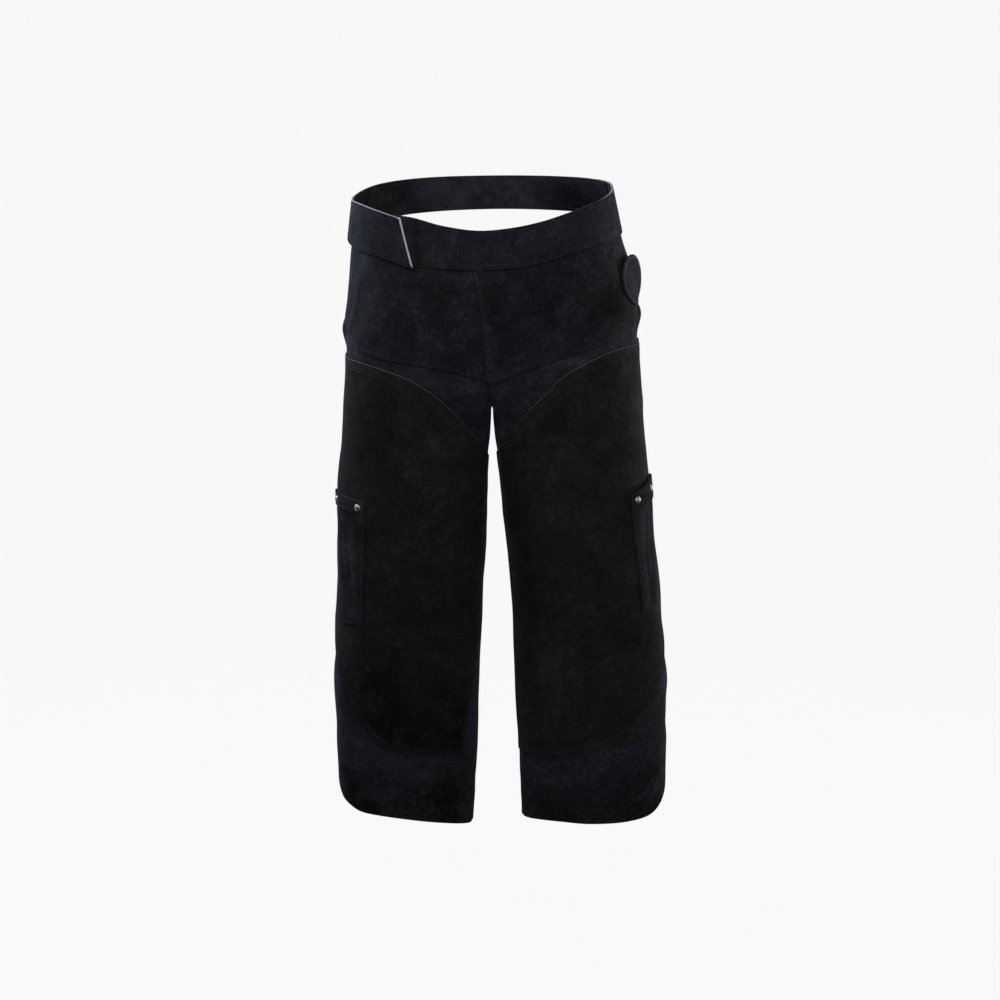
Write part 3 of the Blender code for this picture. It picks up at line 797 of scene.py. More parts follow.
class Sheet:
    """A closed piece of leather round a grid of points on its middle surface."""

    def __init__(self, name, place, u, v, thickness, turn, looks, pale=None):
        self.name, self.thickness = name, thickness
        across, down = np.meshgrid(u, v)
        middle = place(across, down)
        normal = unit(np.cross(np.gradient(middle, axis=1), -np.gradient(middle, axis=0)))
        self.normal = normal * turn
        rows, columns = middle.shape[:2]
        ring, inside = rim_of(rows, columns)
        at, within = tuple(ring.T), tuple(inside.T)
        outward = unit(middle[at] - middle[within])
        round_off = 0.35
        front = middle + self.normal * thickness / 2
        back = middle - self.normal * thickness / 2
        front[at] -= outward * round_off
        back[at] -= outward * round_off
        loops = []
        for pulled, deep in ((0.3, 0.3), (0, 1), (0, -1), (0.3, -0.3)):
            reach = thickness / 2 - round_off * abs(deep)
            loops.append(
                middle[at]
                - outward * round_off * pulled
                + self.normal[at] * math.copysign(reach, deep)
            )
        self.faces = {"front": front, "back": back}
        size = rows * columns
        points = [front.reshape(-1, 3), back.reshape(-1, 3)] + loops
        front_faces = grid_faces(rows, columns)
        back_faces = grid_faces(rows, columns, size)[:, ::-1]
        if turn < 0:
            front_faces, back_faces = front_faces[:, ::-1], back_faces[:, ::-1]
        ring_at = ring[:, 0] * columns + ring[:, 1]
        count = len(ring)
        circles = [ring_at]
        circles += [2 * size + count * i + np.arange(count) for i in range(4)]
        circles += [ring_at + size]
        rim_faces = []
        for one, other in zip(circles, circles[1:]):
            after_one, after_other = np.roll(one, -1), np.roll(other, -1)
            strip = np.stack((one, after_one, after_other, other), axis=1)
            rim_faces.append(strip if turn > 0 else strip[:, ::-1])
        rim_faces = np.concatenate(rim_faces)
        faces = np.concatenate((front_faces, back_faces, rim_faces))
        face_looks = np.zeros(len(faces), int)
        face_looks[len(front_faces) + len(back_faces) :] = 1
        self.object = mesh_object(name, np.concatenate(points), faces.tolist(), looks, face_looks)
        self.mark_edge(middle[at], middle.reshape(-1, 3), count)
        # The second grid holds rubbing, painted highlights and painted shade.
        grids = {"pale": pale(across, down) if pale else 0 * across, "wear_and_painted_light": wear(name, middle)}
        for kind, grid in grids.items():
            self.mark(kind, (grid.ravel(), grid.ravel()) + (grid[at],) * 4)
        faces = grid_faces(rows, columns).tolist()
        self.trees = {
            face: BVHTree.FromPolygons(grid.reshape(-1, 3).tolist(), faces)
            for face, grid in self.faces.items()
        }
        self.outward = {"front": self.normal, "back": -self.normal}

    def mark_edge(self, rim, middle, count):
        """Stores how far each point lies from the cut edge, in mm."""
        tree = KDTree(2 * len(rim))
        halfway = (rim + np.roll(rim, -1, axis=0)) / 2
        for i, point in enumerate(np.concatenate((rim, halfway))):
            tree.insert(point, i)
        tree.balance()
        far = [tree.find(point)[2] for point in middle]
        self.mark("edge", (far, far, np.zeros(4 * count)))

    def mark(self, kind, values):
        attribute = self.object.data.attributes.new(kind, "FLOAT", "POINT")
        attribute.data.foreach_set("value", np.concatenate(values).astype(np.float32))

    def snap(self, point, face="front"):
        """The nearest point of one face, and the way that face looks there."""
        place, normal, index, _ = self.trees[face].find_nearest(Vector(point))
        row, column = divmod(index, self.normal.shape[1] - 1)
        outward = self.outward[face][row, column]
        return np.array(place), np.array(normal) * math.copysign(1, np.dot(normal, outward))

    def inset(self, edge, distance, face="front"):
        """A line along one edge, that far inside it; edge is top, bottom, inner or outer."""
        grid, normals = self.faces[face], self.outward[face]
        lines = {
            "top": (grid[0], grid[2], normals[1]),
            "bottom": (grid[-1], grid[-3], normals[-2]),
            "inner": (grid[:, 0], grid[:, 2], normals[:, 1]),
            "outer": (grid[:, -1], grid[:, -3], normals[:, -2]),
        }
        line, inner, normal = lines[edge]
        inward = unit(np.cross(normal, np.gradient(line, axis=0)))
        inward *= np.sign((inward * (inner - line)).sum(axis=-1, keepdims=True))
        return line + inward * distance


def cut_ends(line, start, end):
    """The part of a line that is left when lengths in mm are cut off its two ends."""
    steps = np.linalg.norm(np.diff(line, axis=0), axis=1)
    gone = np.concatenate(([0], np.cumsum(steps)))
    at = np.linspace(start, gone[-1] - end, max(2, int(gone[-1] / 2)))
    return np.stack([np.interp(at, gone, line[:, i]) for i in range(3)], axis=1)


STITCH_RINGS = ((-0.98, 0.45), (-0.72, 0.88), (0, 1), (0.72, 0.88), (0.98, 0.45))
STITCH_SIDES = 6


def stitches(name, sheet, rows, look, pitch=4.3, length=3.0, radius=0.33, lift=0.08):
    """One mesh of small thread stitches along rows, each a face of the sheet and its points."""
    points, faces = [], []
    turns = 2 * math.pi * np.arange(STITCH_SIDES) / STITCH_SIDES
    for face, row in rows:
        steps = np.linalg.norm(np.diff(row, axis=0), axis=1)
        gone = np.concatenate(([0], np.cumsum(steps)))
        count = int(gone[-1] / pitch)
        for number in range(count):
            start = pitch * (number + 0.5) - length / 2
            ends = [
                sheet.snap([np.interp(start + part, gone, row[:, i]) for i in range(3)], face)
                for part in (0, length)
            ]
            (first, normal), (last, _) = ends
            along = unit(last - first)
            side = unit(np.cross(normal, along))
            normal = np.cross(along, side)
            middle = (first + last) / 2 + normal * lift
            half = np.linalg.norm(last - first) / 2
            base = len(points)
            for reach, wide in STITCH_RINGS:
                dip = -0.3 * radius * reach * reach
                for turn in turns:
                    across = side * math.cos(turn) + normal * math.sin(turn)
                    points.append(
                        middle + along * reach * half + across * radius * wide + normal * dip
                    )
            for ring in range(len(STITCH_RINGS) - 1):
                for i in range(STITCH_SIDES):
                    a = base + ring * STITCH_SIDES + i
                    b = base + ring * STITCH_SIDES + (i + 1) % STITCH_SIDES
                    faces.append((a, b, b + STITCH_SIDES, a + STITCH_SIDES))
            faces.append(tuple(base + i for i in range(STITCH_SIDES))[::-1])
            last_ring = base + (len(STITCH_RINGS) - 1) * STITCH_SIDES
            faces.append(tuple(last_ring + i for i in range(STITCH_SIDES)))
    return mesh_object(name, np.array(points), faces, [look])


def turned(name, profile, sides, place, looks):
    """A closed round mesh: profile rows are (radius, height), place turns (x, y, z) to points."""
    turns = 2 * math.pi * np.arange(sides) / sides
    rings = [
        np.stack((r * np.cos(turns), r * np.sin(turns), 0 * turns + z), axis=1)
        for r, z in profile[1:-1]
    ]
    ends = [np.array([[0, 0, profile[0][1]]]), np.array([[0, 0, profile[-1][1]]])]
    points = place(np.concatenate(ends + rings))
    faces = []
    for ring in range(len(rings) - 1):
        for i in range(sides):
            a, b = 2 + ring * sides + i, 2 + ring * sides + (i + 1) % sides
            faces.append((a, a + sides, b + sides, b))
    last = 2 + (len(rings) - 1) * sides
    for i in range(sides):
        after = (i + 1) % sides
        faces.append((0, 2 + i, 2 + after))
        faces.append((1, last + after, last + i))
    return mesh_object(name, points, faces, looks)


# Looks


def add_node(tree, kind, inputs=None, **settings):
    """A shader node; inputs maps a socket to a value or to another node's output."""
    made = tree.nodes.new(kind)
    for name, value in settings.items():
        setattr(made, name, value)
    for name, value in (inputs or {}).items():
        if isinstance(value, bpy.types.NodeSocket):
            tree.links.new(value, made.inputs[name])
        else:
            made.inputs[name].default_value = value
    return made


def noise(tree, place, scale, detail=3.0, roughness=0.55, distortion=0.0):
    made = add_node(
        tree,
        "ShaderNodeTexNoise",
        {
            "Vector": place,
            "Scale": scale,
            "Detail": detail,
            "Roughness": roughness,
            "Distortion": distortion,
        },
    )
    return made.outputs["Fac"]


def math_node(tree, operation, first, second=0.0, third=0.0):
    made = add_node(tree, "ShaderNodeMath", {0: first, 1: second, 2: third}, operation=operation)
    return made.outputs[0]


def map_range(tree, value, start, end, low=0.0, high=1.0):
    inputs = {"Value": value, "From Min": start, "From Max": end, "To Min": low, "To Max": high}
    made = add_node(tree, "ShaderNodeMapRange", inputs, interpolation_type="SMOOTHSTEP")
    return made.outputs["Result"]


def mix_color(tree, share, first, second, how="MIX"):
    made = add_node(tree, "ShaderNodeMix", {"Factor": share}, data_type="RGBA", blend_type=how)
    for socket, value in ((made.inputs[6], first), (made.inputs[7], second)):
        if isinstance(value, bpy.types.NodeSocket):
            tree.links.new(value, socket)
        else:
            socket.default_value = (*value, 1)
    return made.outputs[2]


def shader_of(name):
    made = bpy.data.materials.new(name)
    made.use_nodes = True
    return made, made.node_tree, made.node_tree.nodes["Principled BSDF"]


def relief(tree, shader, height, strength, distance):
    """Bumps from a height, for the finest detail alone; the distance is in metres."""
    inputs = {"Height": height, "Strength": strength, "Distance": distance}
    made = add_node(tree, "ShaderNodeBump", inputs)
    tree.links.new(made.outputs["Normal"], shader.inputs["Normal"])


def suede(name, dark, middle, light, edge_wear_and_highlight_tone, sheen, sheen_tint, edge_share=0.5):
    """Split leather: cloudy tones, pale veins, a fine nap, a paler edge from rubbing, and marks from a
    point attribute: paler for rubbing and painted highlights, darker for painted shade.
    """
    made, tree, shader = shader_of(name)
    place = add_node(tree, "ShaderNodeTexCoord").outputs["Object"]
    broad = noise(tree, place, 7, 3, 0.5, 0.3)
    cloud = noise(tree, place, 24, 5, 0.6, 0.3)
    mottle = noise(tree, place, 80, 5, 0.68, 0.3)
    fleck = noise(tree, place, 215, 4, 0.7, 0.6)
    fibre = noise(tree, place, 470, 3, 0.7)
    nap = noise(tree, place, 1150, 2, 0.6)
    tone = math_node(tree, "MULTIPLY_ADD", broad, 0.2, -0.29)
    for part, weight in ((cloud, 0.34), (mottle, 0.34), (fleck, 0.42), (fibre, 0.28)):
        tone = math_node(tree, "MULTIPLY_ADD", part, weight, tone)
    color = mix_color(tree, map_range(tree, tone, 0.37, 0.5), dark, middle)
    color = mix_color(tree, map_range(tree, tone, 0.5, 0.63), color, light)
    warm = map_range(tree, noise(tree, place, 38, 4, 0.6), 0.42, 0.62)
    color = mix_color(tree, warm, color, WARM_TINT, "MULTIPLY")
    winding = noise(tree, place, 30, 4, 0.62, 1.8)
    vein = math_node(tree, "ABSOLUTE", math_node(tree, "SUBTRACT", winding, 0.5))
    vein = map_range(tree, vein, 0.0, 0.016, 1.0, 0.0)
    where = map_range(tree, noise(tree, place, 21, 3, 0.6, 0.6), 0.54, 0.68)
    veins = math_node(tree, "MULTIPLY", math_node(tree, "MULTIPLY", vein, where), 0.6)
    color = mix_color(tree, veins, color, light)
    # Marks above 0 pale the leather: real rubbing, and painted highlights.
    wear_and_painted_light = add_node(tree, "ShaderNodeAttribute", attribute_name="wear_and_painted_light").outputs["Fac"]
    rubbing_and_highlight_mottle = map_range(tree, math_node(tree, "ADD", mottle, cloud), 0.8, 1.15, 0.35, 1.0)
    color = mix_color(tree, math_node(tree, "MULTIPLY", wear_and_painted_light, rubbing_and_highlight_mottle), color, edge_wear_and_highlight_tone)
    # Marks below 0 darken it: painted shade.
    painted_shade_mottle = map_range(tree, math_node(tree, "ADD", fleck, cloud), 0.8, 1.2, -1.15, -0.45)
    painted_shade = math_node(tree, "MULTIPLY", wear_and_painted_light, painted_shade_mottle)
    color = mix_color(tree, painted_shade, color, PAINTED_SHADE_TONE)
    edge = add_node(tree, "ShaderNodeAttribute", attribute_name="edge").outputs["Fac"]
    pale = add_node(tree, "ShaderNodeAttribute", attribute_name="pale").outputs["Fac"]
    ragged = math_node(tree, "MULTIPLY_ADD", fibre, -1.4, edge)
    ragged = math_node(tree, "MULTIPLY_ADD", pale, -1.3, ragged)
    share = map_range(tree, pale, 0.0, 1.0, edge_share, 1.0)
    wear = math_node(tree, "MULTIPLY", map_range(tree, ragged, -0.6, 0.6, 1.0, 0.0), share)
    color = mix_color(tree, wear, color, mix_color(tree, pale, edge_wear_and_highlight_tone, PALE_LEATHER))
    grain = map_range(tree, nap, 0.2, 0.8, 0.62, 1.38)
    shade = add_node(tree, "ShaderNodeHueSaturation", {"Value": grain, "Color": color})
    tree.links.new(shade.outputs["Color"], shader.inputs["Base Color"])
    roughness = map_range(tree, tone, 0.3, 0.7, 0.95, 0.8)
    tree.links.new(roughness, shader.inputs["Roughness"])
    height = math_node(tree, "MULTIPLY_ADD", nap, 0.35, math_node(tree, "MULTIPLY", fibre, 0.4))
    height = math_node(tree, "MULTIPLY_ADD", fleck, 0.5, height)
    height = math_node(tree, "MULTIPLY_ADD", mottle, 0.9, height)
    relief(tree, shader, height, 0.55, 0.0007)
    shader.inputs["Specular IOR Level"].default_value = 0.06
    shader.inputs["Sheen Weight"].default_value = sheen
    shader.inputs["Sheen Roughness"].default_value = 0.3
    shader.inputs["Sheen Tint"].default_value = (*sheen_tint, 1)
    return made


def cut_edge(name, dark, light):
    """The raw fibres of a cut edge, paler where the edge is marked pale."""
    made, tree, shader = shader_of(name)
    place = add_node(tree, "ShaderNodeTexCoord").outputs["Object"]
    fibres = noise(tree, place, 900, 3, 0.7)
    patches = noise(tree, place, 90, 3, 0.6)
    tone = math_node(tree, "MULTIPLY_ADD", fibres, 0.5, math_node(tree, "MULTIPLY", patches, 0.5))
    color = mix_color(tree, map_range(tree, tone, 0.38, 0.62), dark, light)
    pale = add_node(tree, "ShaderNodeAttribute", attribute_name="pale").outputs["Fac"]
    color = mix_color(tree, pale, color, PALE_LEATHER)
    tree.links.new(color, shader.inputs["Base Color"])
    tree.links.new(map_range(tree, fibres, 0.3, 0.7, 0.75, 0.95), shader.inputs["Roughness"])
    relief(tree, shader, fibres, 0.5, 0.0004)
    shader.inputs["Specular IOR Level"].default_value = 0.12
    return made


def thread(name, dark, light):
    """Sewing thread, each stitch a little lighter or darker than the next."""
    made, tree, shader = shader_of(name)
    place = add_node(tree, "ShaderNodeTexCoord").outputs["Object"]
    strands = noise(tree, place, 2600, 1, 0.5)
    faded = map_range(tree, noise(tree, place, 85, 3), 0.42, 0.62)
    color = mix_color(tree, faded, dark, light)
    tree.links.new(color, shader.inputs["Base Color"])
    tree.links.new(map_range(tree, strands, 0.3, 0.7, 0.5, 0.75), shader.inputs["Roughness"])
    relief(tree, shader, strands, 0.4, 0.0002)
    shader.inputs["Specular IOR Level"].default_value = 0.25
    return made


def polished(name):
    """Bright plated steel with faint rubbing marks."""
    made, tree, shader = shader_of(name)
    place = add_node(tree, "ShaderNodeTexCoord").outputs["Object"]
    marks = noise(tree, place, 1500, 3, 0.6)
    color = mix_color(tree, noise(tree, place, 400, 2), (0.17, 0.17, 0.175), (0.26, 0.26, 0.265))
    tree.links.new(color, shader.inputs["Base Color"])
    tree.links.new(map_range(tree, marks, 0.3, 0.7, 0.12, 0.24), shader.inputs["Roughness"])
    relief(tree, shader, marks, 0.1, 0.0001)
    shader.inputs["Metallic"].default_value = 1.0
    return made


PALE_LEATHER = (0.33, 0.33, 0.36)
# The second of these is the near-black tone that painted shade mixes in.
WARM_TINT, PAINTED_SHADE_TONE = (1.03, 0.99, 0.89), (0.0014, 0.0014, 0.0016)
NAVY_TONES = ((0.0042, 0.0047, 0.0069), (0.0082, 0.0090, 0.0124), (0.0168, 0.0180, 0.0228))
BROWN_TONES = ((0.0033, 0.0033, 0.0037), (0.0064, 0.0064, 0.0067), (0.0125, 0.0122, 0.0118))
NAVY = suede("navy suede", *NAVY_TONES, (0.030, 0.031, 0.040), 0.07, (0.62, 0.68, 1.0), 0.36)
BROWN = suede("brown suede", *BROWN_TONES, (0.030, 0.030, 0.032), 0.045, (0.85, 0.85, 1.0), 0.45)
NAVY_EDGE = cut_edge("navy cut edge", (0.012, 0.0125, 0.016), (0.03, 0.031, 0.037))
BROWN_EDGE = cut_edge("brown cut edge", (0.012, 0.012, 0.013), (0.035, 0.034, 0.034))
NAVY_THREAD = thread("navy thread", (0.0055, 0.006, 0.008), (0.02, 0.021, 0.026))
BROWN_THREAD = thread("brown thread", (0.0045, 0.0045, 0.0046), (0.017, 0.0168, 0.0166))
PALE_THREAD = thread("pale thread", (0.09, 0.09, 0.095), (0.2, 0.2, 0.21))
STEEL = polished("rivet steel")

# Pieces

NAVY_LOOKS, BROWN_LOOKS = (NAVY, NAVY_EDGE), (BROWN, BROWN_EDGE)


def settle(piece, slot, *nodes):
    """Every piece rides on the one body and stands for its solid; its slot is not used."""
    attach(piece, "root")
    if nodes:
        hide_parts(*nodes)


def edge_rows(sheet, rows):
    """Sewing lines inside a sheet's edges: rows of (face, edge, inset, cut start, cut end)."""
    return [
        (face, cut_ends(sheet.inset(edge, inset, face), start, end))
        for face, edge, inset, start, end in rows
    ]


def surface_rows(lines, place):
    """Sewing lines over a surface: each a face and a list of places that place() reads."""
    made = []
    for face, ends in lines:
        ends = np.array(ends, float)
        at = np.linspace(0, 1, 80)
        steps = np.linspace(0, 1, len(ends))
        made.append((face, place(*[np.interp(at, steps, ends[:, i]) for i in range(2)])))
    return made


def sew(sheet, rows, look, slot, **sizes):
    made = stitches(sheet.name + "_stitching", sheet, rows, look, **sizes)
    settle(made, slot)
    return made


band = Sheet(
    "band_leather",
    waistband_place,
    grid_lines(500, 4),
    grid_lines(55, 3, 10),
    BELT_THICKNESS,
    1,
    NAVY_LOOKS,
    pale=lambda u, v: 0.5 * bump(v, 0, 0.06) * ease(55, 75, mix(*WAISTBAND_ANGLES, u)),
)
settle(band.object, "navy", "waistband")
band_rows = edge_rows(
    band, (("front", "top", 4.5, 8, 8), ("front", "bottom", 5, 8, 8), ("front", "outer", 5, 6, 6))
)
band_thread = sew(band, band_rows, NAVY_THREAD, "navy")

def strap_pale(u, v):
    """The strap's cut end and the front of its upper edge show bare pale leather."""
    end = ease(0.9895, 0.9945, u) * ease(0.985, 0.95, v)
    front = ease(-100, -80, mix(STRAP_START, STRAP_END_TOP, u)) * bump(v, 0, 0.035)
    return np.maximum(end, 0.75 * front)


strap = Sheet(
    "strap_leather",
    belt_strap_place,
    grid_lines(640, 4),
    grid_lines(56, 3, 10),
    BELT_THICKNESS,
    1,
    NAVY_LOOKS,
    pale=strap_pale,
)
settle(strap.object, "navy", "belt_strap")
# The rows that hold the strap's plies together at its back, seen on its inner face.
BACK_ROWS = (
    ("back", ((-159, 54), (-160, 8))),
    ("back", ((-196, 54), (-194.5, 12))),
    ("back", ((-169, 53), (-162, 30), (-168, 10))),
    ("back", ((-187, 53), (-195, 36), (-187, 12))),
    ("front", ((-159, 54), (-160, 8))),
    ("front", ((-196, 54), (-194.5, 12))),
    ("front", ((-45.8, 9), (-46.7, -36))),
)
strap_rows = edge_rows(
    strap,
    (
        ("front", "top", 5, 6, 6),
        ("front", "bottom", 5, 6, 6),
        ("back", "bottom", 4.5, 6, 6),
        ("back", "top", 4.5, 6, 6),
        ("front", "outer", 6, 6, 6),
    ),
)
strap_rows += surface_rows(
    BACK_ROWS, lambda angle, height: belt_skin(angle, height, STRAP.read("face", angle) + 1.3)
)
strap_thread = sew(strap, strap_rows, NAVY_THREAD, "navy")

# Sewing lines across the leg panels, by (share, height).
LEG_ROWS = {
    RIGHT: (
        ("front", ((0.52, -187), (0.422, -188.1), (0.318, -191.1), (0.23, -196.3), (0.02, -212))),
        ("front", ((0.33, -212.2), (0.218, -213.7), (0.133, -215.2), (0.012, -217.4))),
    ),
    LEFT: (
        ("front", ((0.015, -217.6), (0.115, -214.8), (0.2, -212.3), (0.3, -206))),
        ("front", ((0.03, -211), (0.16, -197), (0.3, -181), (0.5, -163), (0.62, -152))),
        *(("front", ((0.001, -211.5 - 1.3 * i), (0.0195, -211.5 - 1.3 * i))) for i in range(4)),
    ),
}


def patch_pale(u, v):
    """The upper edge of a thigh patch is cut paler than its other edges."""
    return 0.12 * bump(v, 0, 0.01) * ease(0.04, 0.1, u) * ease(0.99, 0.95, u)


for side in (LEFT, RIGHT):
    name = SIDE_NAMES[side]
    hip = Sheet(
        "hip_" + name,
        hip_panel_place(side),
        grid_lines(300, 4, 18),
        grid_lines(170, 4),
        PANEL_THICKNESS,
        side,
        NAVY_LOOKS,
    )
    settle(hip.object, "navy", "hip_panel_" + name)
    hip_rows = edge_rows(hip, (("front", "bottom", 3.8, 2, 4), ("front", "outer", 4, 4, 4)))
    hip_thread = sew(hip, hip_rows, NAVY_THREAD, "navy")

    leg = Sheet(
        "leg_" + name,
        leg_panel_place(side),
        grid_lines(320, 4.5),
        grid_lines(690, 4.5),
        PANEL_THICKNESS,
        side,
        NAVY_LOOKS,
    )
    settle(leg.object, "navy", "leg_panel_" + name)

    def on_leg(share, height):
        return skin(side, share, height, LEG_PANEL_AT + PANEL_THICKNESS)

    leg_thread = sew(leg, surface_rows(LEG_ROWS[side], on_leg), NAVY_THREAD, "navy")

    patch = Sheet(
        "patch_" + name,
        thigh_patch_place(side),
        grid_lines(290, 4.5, 14),
        grid_lines(520, 4.5, 16),
        PATCH_THICKNESS,
        side,
        BROWN_LOOKS,
        pale=patch_pale,
    )
    settle(patch.object, "brown", "thigh_patch_" + name)
    patch_rows = edge_rows(
        patch,
        (
            ("front", "top", 4, 3, 4),
            ("front", "top", 8, 5, 8),
            ("front", "top", 12, 8, 12),
            ("front", "bottom", 4, 4, 4),
            ("front", "bottom", 8, 8, 8),
            ("front", "inner", 4, 14, 4),
            ("front", "outer", 4, 14, 4),
        ),
    )
    patch_thread = sew(patch, patch_rows, BROWN_THREAD, "brown")

    sizes = POCKETS[side]
    pocket = Sheet(
        "pouch_" + name,
        pocket_place(side),
        grid_lines(75, 2.5, 8),
        grid_lines(205, 2, 30, 1),
        POCKET_THICKNESS,
        side,
        NAVY_LOOKS,
    )
    settle(pocket.object, "navy", "pocket_" + name)
    hem = sizes["band"]
    pocket_rows = edge_rows(
        pocket,
        (
            ("front", "bottom", 3.5, 3, 3),
            ("front", "inner", 3.5, hem + 8, 4),
            ("front", "outer", 3.5, hem + 8, 4),
            ("back", "top", 3.5, 3, 3),
        ),
    )
    pocket_thread = sew(pocket, pocket_rows, NAVY_THREAD, "navy")

    for where, (share, height) in zip(("front", "rear"), sizes["rivets"]):
        low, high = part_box("rivet_%s_%s" % (name, where))
        middle = (Vector(low) + Vector(high)) / 2 / MM
        seat, outward = pocket.snap(middle, "back")
        z_axis = Vector(outward)
        x_axis = Vector((0, 0, 1)).cross(z_axis).normalized()
        frame_axes = np.array((x_axis, z_axis.cross(x_axis), z_axis))
        profile = (
            (0, 1.95),
            (0.9, 1.93),
            (1.8, 1.8),
            (2.7, 1.5),
            (3.4, 1.1),
            (3.85, 0.62),
            (4.0, 0.3),
            (4.35, 0.22),
            (4.75, 0.34),
            (5.0, 0.16),
            (4.9, -0.1),
            (0, -0.1),
        )
        rivet = turned(
            "cap_%s_%s" % (name, where), profile, 40, lambda p: seat + p @ frame_axes, (STEEL,)
        )
        settle(rivet, "steel", "rivet_%s_%s" % (name, where))


def badge_place(points):
    """Stands the badge upright in its plane, or pushes it outwards where the hip is in its way."""
    turn = math.radians(BADGE_FACING)
    facing = np.array((math.sin(turn), -math.cos(turn), 0))
    along = np.array((math.cos(turn), math.sin(turn), 0))
    middle = np.array(BADGE_MIDDLE) + points[:, 1:2] * np.array((0, 0, 1))
    start = middle - facing * BADGE_SPREAD
    free = facing * BADGE_SPREAD + along * points[:, :1]
    lean = points[:, 0] / BADGE_SPREAD
    low, high = np.full(len(points), 0.3), np.full(len(points), 1.15)
    for _ in range(24):
        share = (low + high) / 2
        seat = skin(LEFT, share, middle[:, 2], BADGE_AT + BADGE_THICKNESS / 2) - start
        short = seat @ along < lean * (seat @ facing)
        low, high = np.where(short, share, low), np.where(short, high, share)
    held = seat @ facing * np.hypot(1, lean)
    reach = np.linalg.norm(free, axis=1)
    out = (reach + held + np.hypot(reach - held, BADGE_EASE)) / 2 + points[:, 2]
    return start + unit(free) * out[:, None]


half, BADGE_SIDES = BADGE_THICKNESS / 2, 96
badge_profile = [(0, half)] + [(r, half) for r in np.linspace(3, 34, 15)]
badge_profile += [(34.7, half - 0.1), (35, half - 0.4), (35, 0.4 - half), (34.7, 0.1 - half)]
badge_profile += [(r, -half) for r in np.linspace(34, 3, 15)] + [(0, -half)]
badge = turned("badge_leather", badge_profile, BADGE_SIDES, badge_place, (NAVY,))
reach = np.concatenate(([0, 0], np.repeat([r for r, _ in badge_profile[1:-1]], BADGE_SIDES)))
for kind, values in (("edge", BADGE_RADIUS - reach), ("pale", 0 * reach), ("wear_and_painted_light", 0 * reach)):
    attribute = badge.data.attributes.new(kind, "FLOAT", "POINT")
    attribute.data.foreach_set("value", values.astype(np.float32))
settle(badge, "navy", "hip_badge")


def badge_ring(radius):
    turns = np.linspace(0, 2 * math.pi, 200)
    flat = np.stack((radius * np.cos(turns), radius * np.sin(turns), 0 * turns + half), axis=1)
    return badge_place(flat)


class Flat:
    """Stands in for a sheet where stitches are laid on the badge."""

    name = "badge_leather"

    def __init__(self, made):
        mesh = made.data
        points = [vertex.co / MM for vertex in mesh.vertices]
        self.tree = BVHTree.FromPolygons(points, [tuple(f.vertices) for f in mesh.polygons])

    def snap(self, point, _):
        place, normal, _, _ = self.tree.find_nearest(Vector(point))
        return np.array(place), np.array(normal)


badge_thread = sew(Flat(badge), [("front", badge_ring(31))], PALE_THREAD, "navy")

# The studio: a pale sweep, a soft light from above and in front, and one from each side


def sweep():
    """A floor that curves up into a back wall."""
    low, back, top, bend = -0.93, 6.5, 6.5, 1.2
    outline = [(-6.5, low), (back - bend, low)]
    for step in range(1, 13):
        turn = math.pi / 2 * step / 12
        outline.append((back - bend + bend * math.sin(turn), low + bend * (1 - math.cos(turn))))
    outline.append((back, top))
    points = [(x, y, z) for x in (-8, 8) for y, z in outline]
    count = len(outline)
    faces = [(i, i + 1, count + i + 1, count + i) for i in range(count - 1)]
    mesh = bpy.data.meshes.new("studio_sweep")
    mesh.from_pydata(points, [], faces)
    mesh.polygons.foreach_set("use_smooth", [True] * len(faces))
    made = bpy.data.objects.new("studio_sweep", mesh)
    bpy.context.scene.collection.objects.link(made)
    look, tree, shader = shader_of("studio white")
    shader.inputs["Base Color"].default_value = (0.012, 0.012, 0.012, 1)
    shader.inputs["Roughness"].default_value = 1
    shader.inputs["Specular IOR Level"].default_value = 0
    shader.inputs["Emission Color"].default_value = (1, 1, 1, 1)
    shader.inputs["Emission Strength"].default_value = 0.93
    mesh.materials.append(look)
    # The sweep is bright to look at and leaves the lighting of the leather to the lamps.
    made.visible_diffuse = False
    made.visible_glossy = False


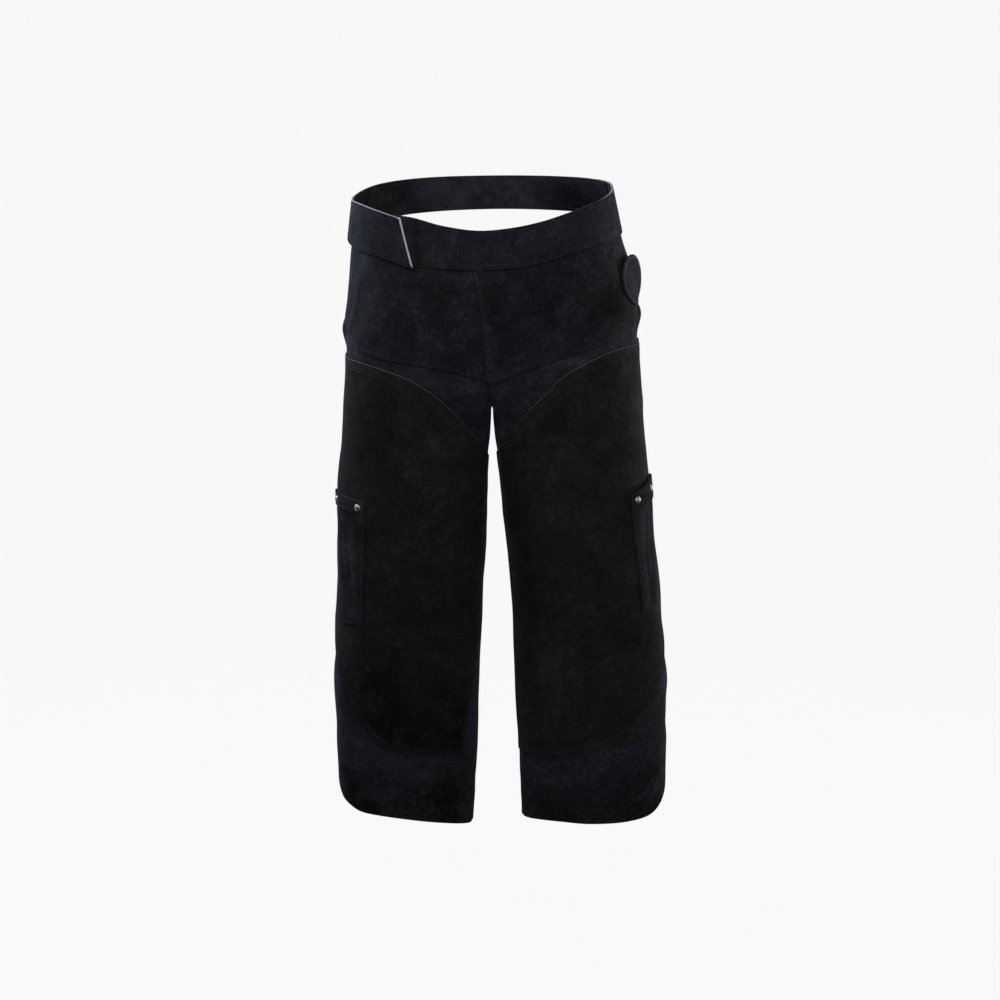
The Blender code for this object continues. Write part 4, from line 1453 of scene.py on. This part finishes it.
def soft_light(name, place, aim, width, height, power, color=(1, 1, 1)):
    light = bpy.data.lights.new(name, "AREA")
    light.shape = "RECTANGLE"
    light.size, light.size_y = width, height
    light.energy = power
    light.color = color
    made = bpy.data.objects.new(name, light)
    made.location = place
    made.rotation_euler = (Vector(aim) - Vector(place)).to_track_quat("-Z", "Y").to_euler()
    bpy.context.scene.collection.objects.link(made)


def studio():
    sweep()
    soft_light("key_light", (-0.85, -1.8, 1.5), (0.02, 0, -0.1), 1.3, 0.9, 30)
    soft_light("fill_light", (1.35, -2.0, 0), (0.1, 0, -0.5), 0.9, 1.2, 13, (1, 0.95, 0.95))
    soft_light("left_rim", (-1.0, 0.38, 0.3), (-0.17, 0, -0.1), 0.4, 0.5, 15, (0.78, 0.85, 1))
    soft_light("right_rim", (1.15, 0.4, -0.25), (0.24, 0, -0.42), 0.4, 0.9, 9, (1, 0.92, 0.94))
    # Tall narrow lamps that put the upright glints on the rivets
    soft_light("left_strip", (-1.54, -0.3, -0.6), (-0.17, -0.1, -0.38), 0.1, 1.4, 2.6)
    soft_light("right_strip", (1.59, -0.04, -0.59), (0.21, -0.1, -0.37), 0.1, 1.4, 2.6)
    world = bpy.data.worlds.new("studio air")
    world.use_nodes = True
    tree = world.node_tree
    up = add_node(
        tree,
        "ShaderNodeSeparateXYZ",
        {"Vector": add_node(tree, "ShaderNodeTexCoord").outputs["Generated"]},
    ).outputs["Z"]
    strength = map_range(tree, up, -0.6, 0.8, 0.16, 0.62)
    air = tree.nodes["Background"]
    air.inputs["Color"].default_value = (0.93, 0.95, 1, 1)
    tree.links.new(strength, air.inputs["Strength"])
    bpy.context.scene.world = world
    camera = bpy.data.cameras.new("camera")
    camera.lens, camera.sensor_width = CAMERA_LENS, 36
    camera_object = bpy.data.objects.new("camera", camera)
    tilt = math.radians(CAMERA_ELEVATION)
    away = Vector((0, -math.cos(tilt), math.sin(tilt))) * CAMERA_DISTANCE
    camera_object.location = CAMERA_TARGET + away
    camera_object.rotation_euler = (-away).to_track_quat("-Z", "Y").to_euler()
    bpy.context.scene.collection.objects.link(camera_object)
    bpy.context.scene.camera = camera_object
    bpy.context.scene.view_settings.view_transform = "Standard"
    bpy.context.scene.view_settings.look = "None"


studio()
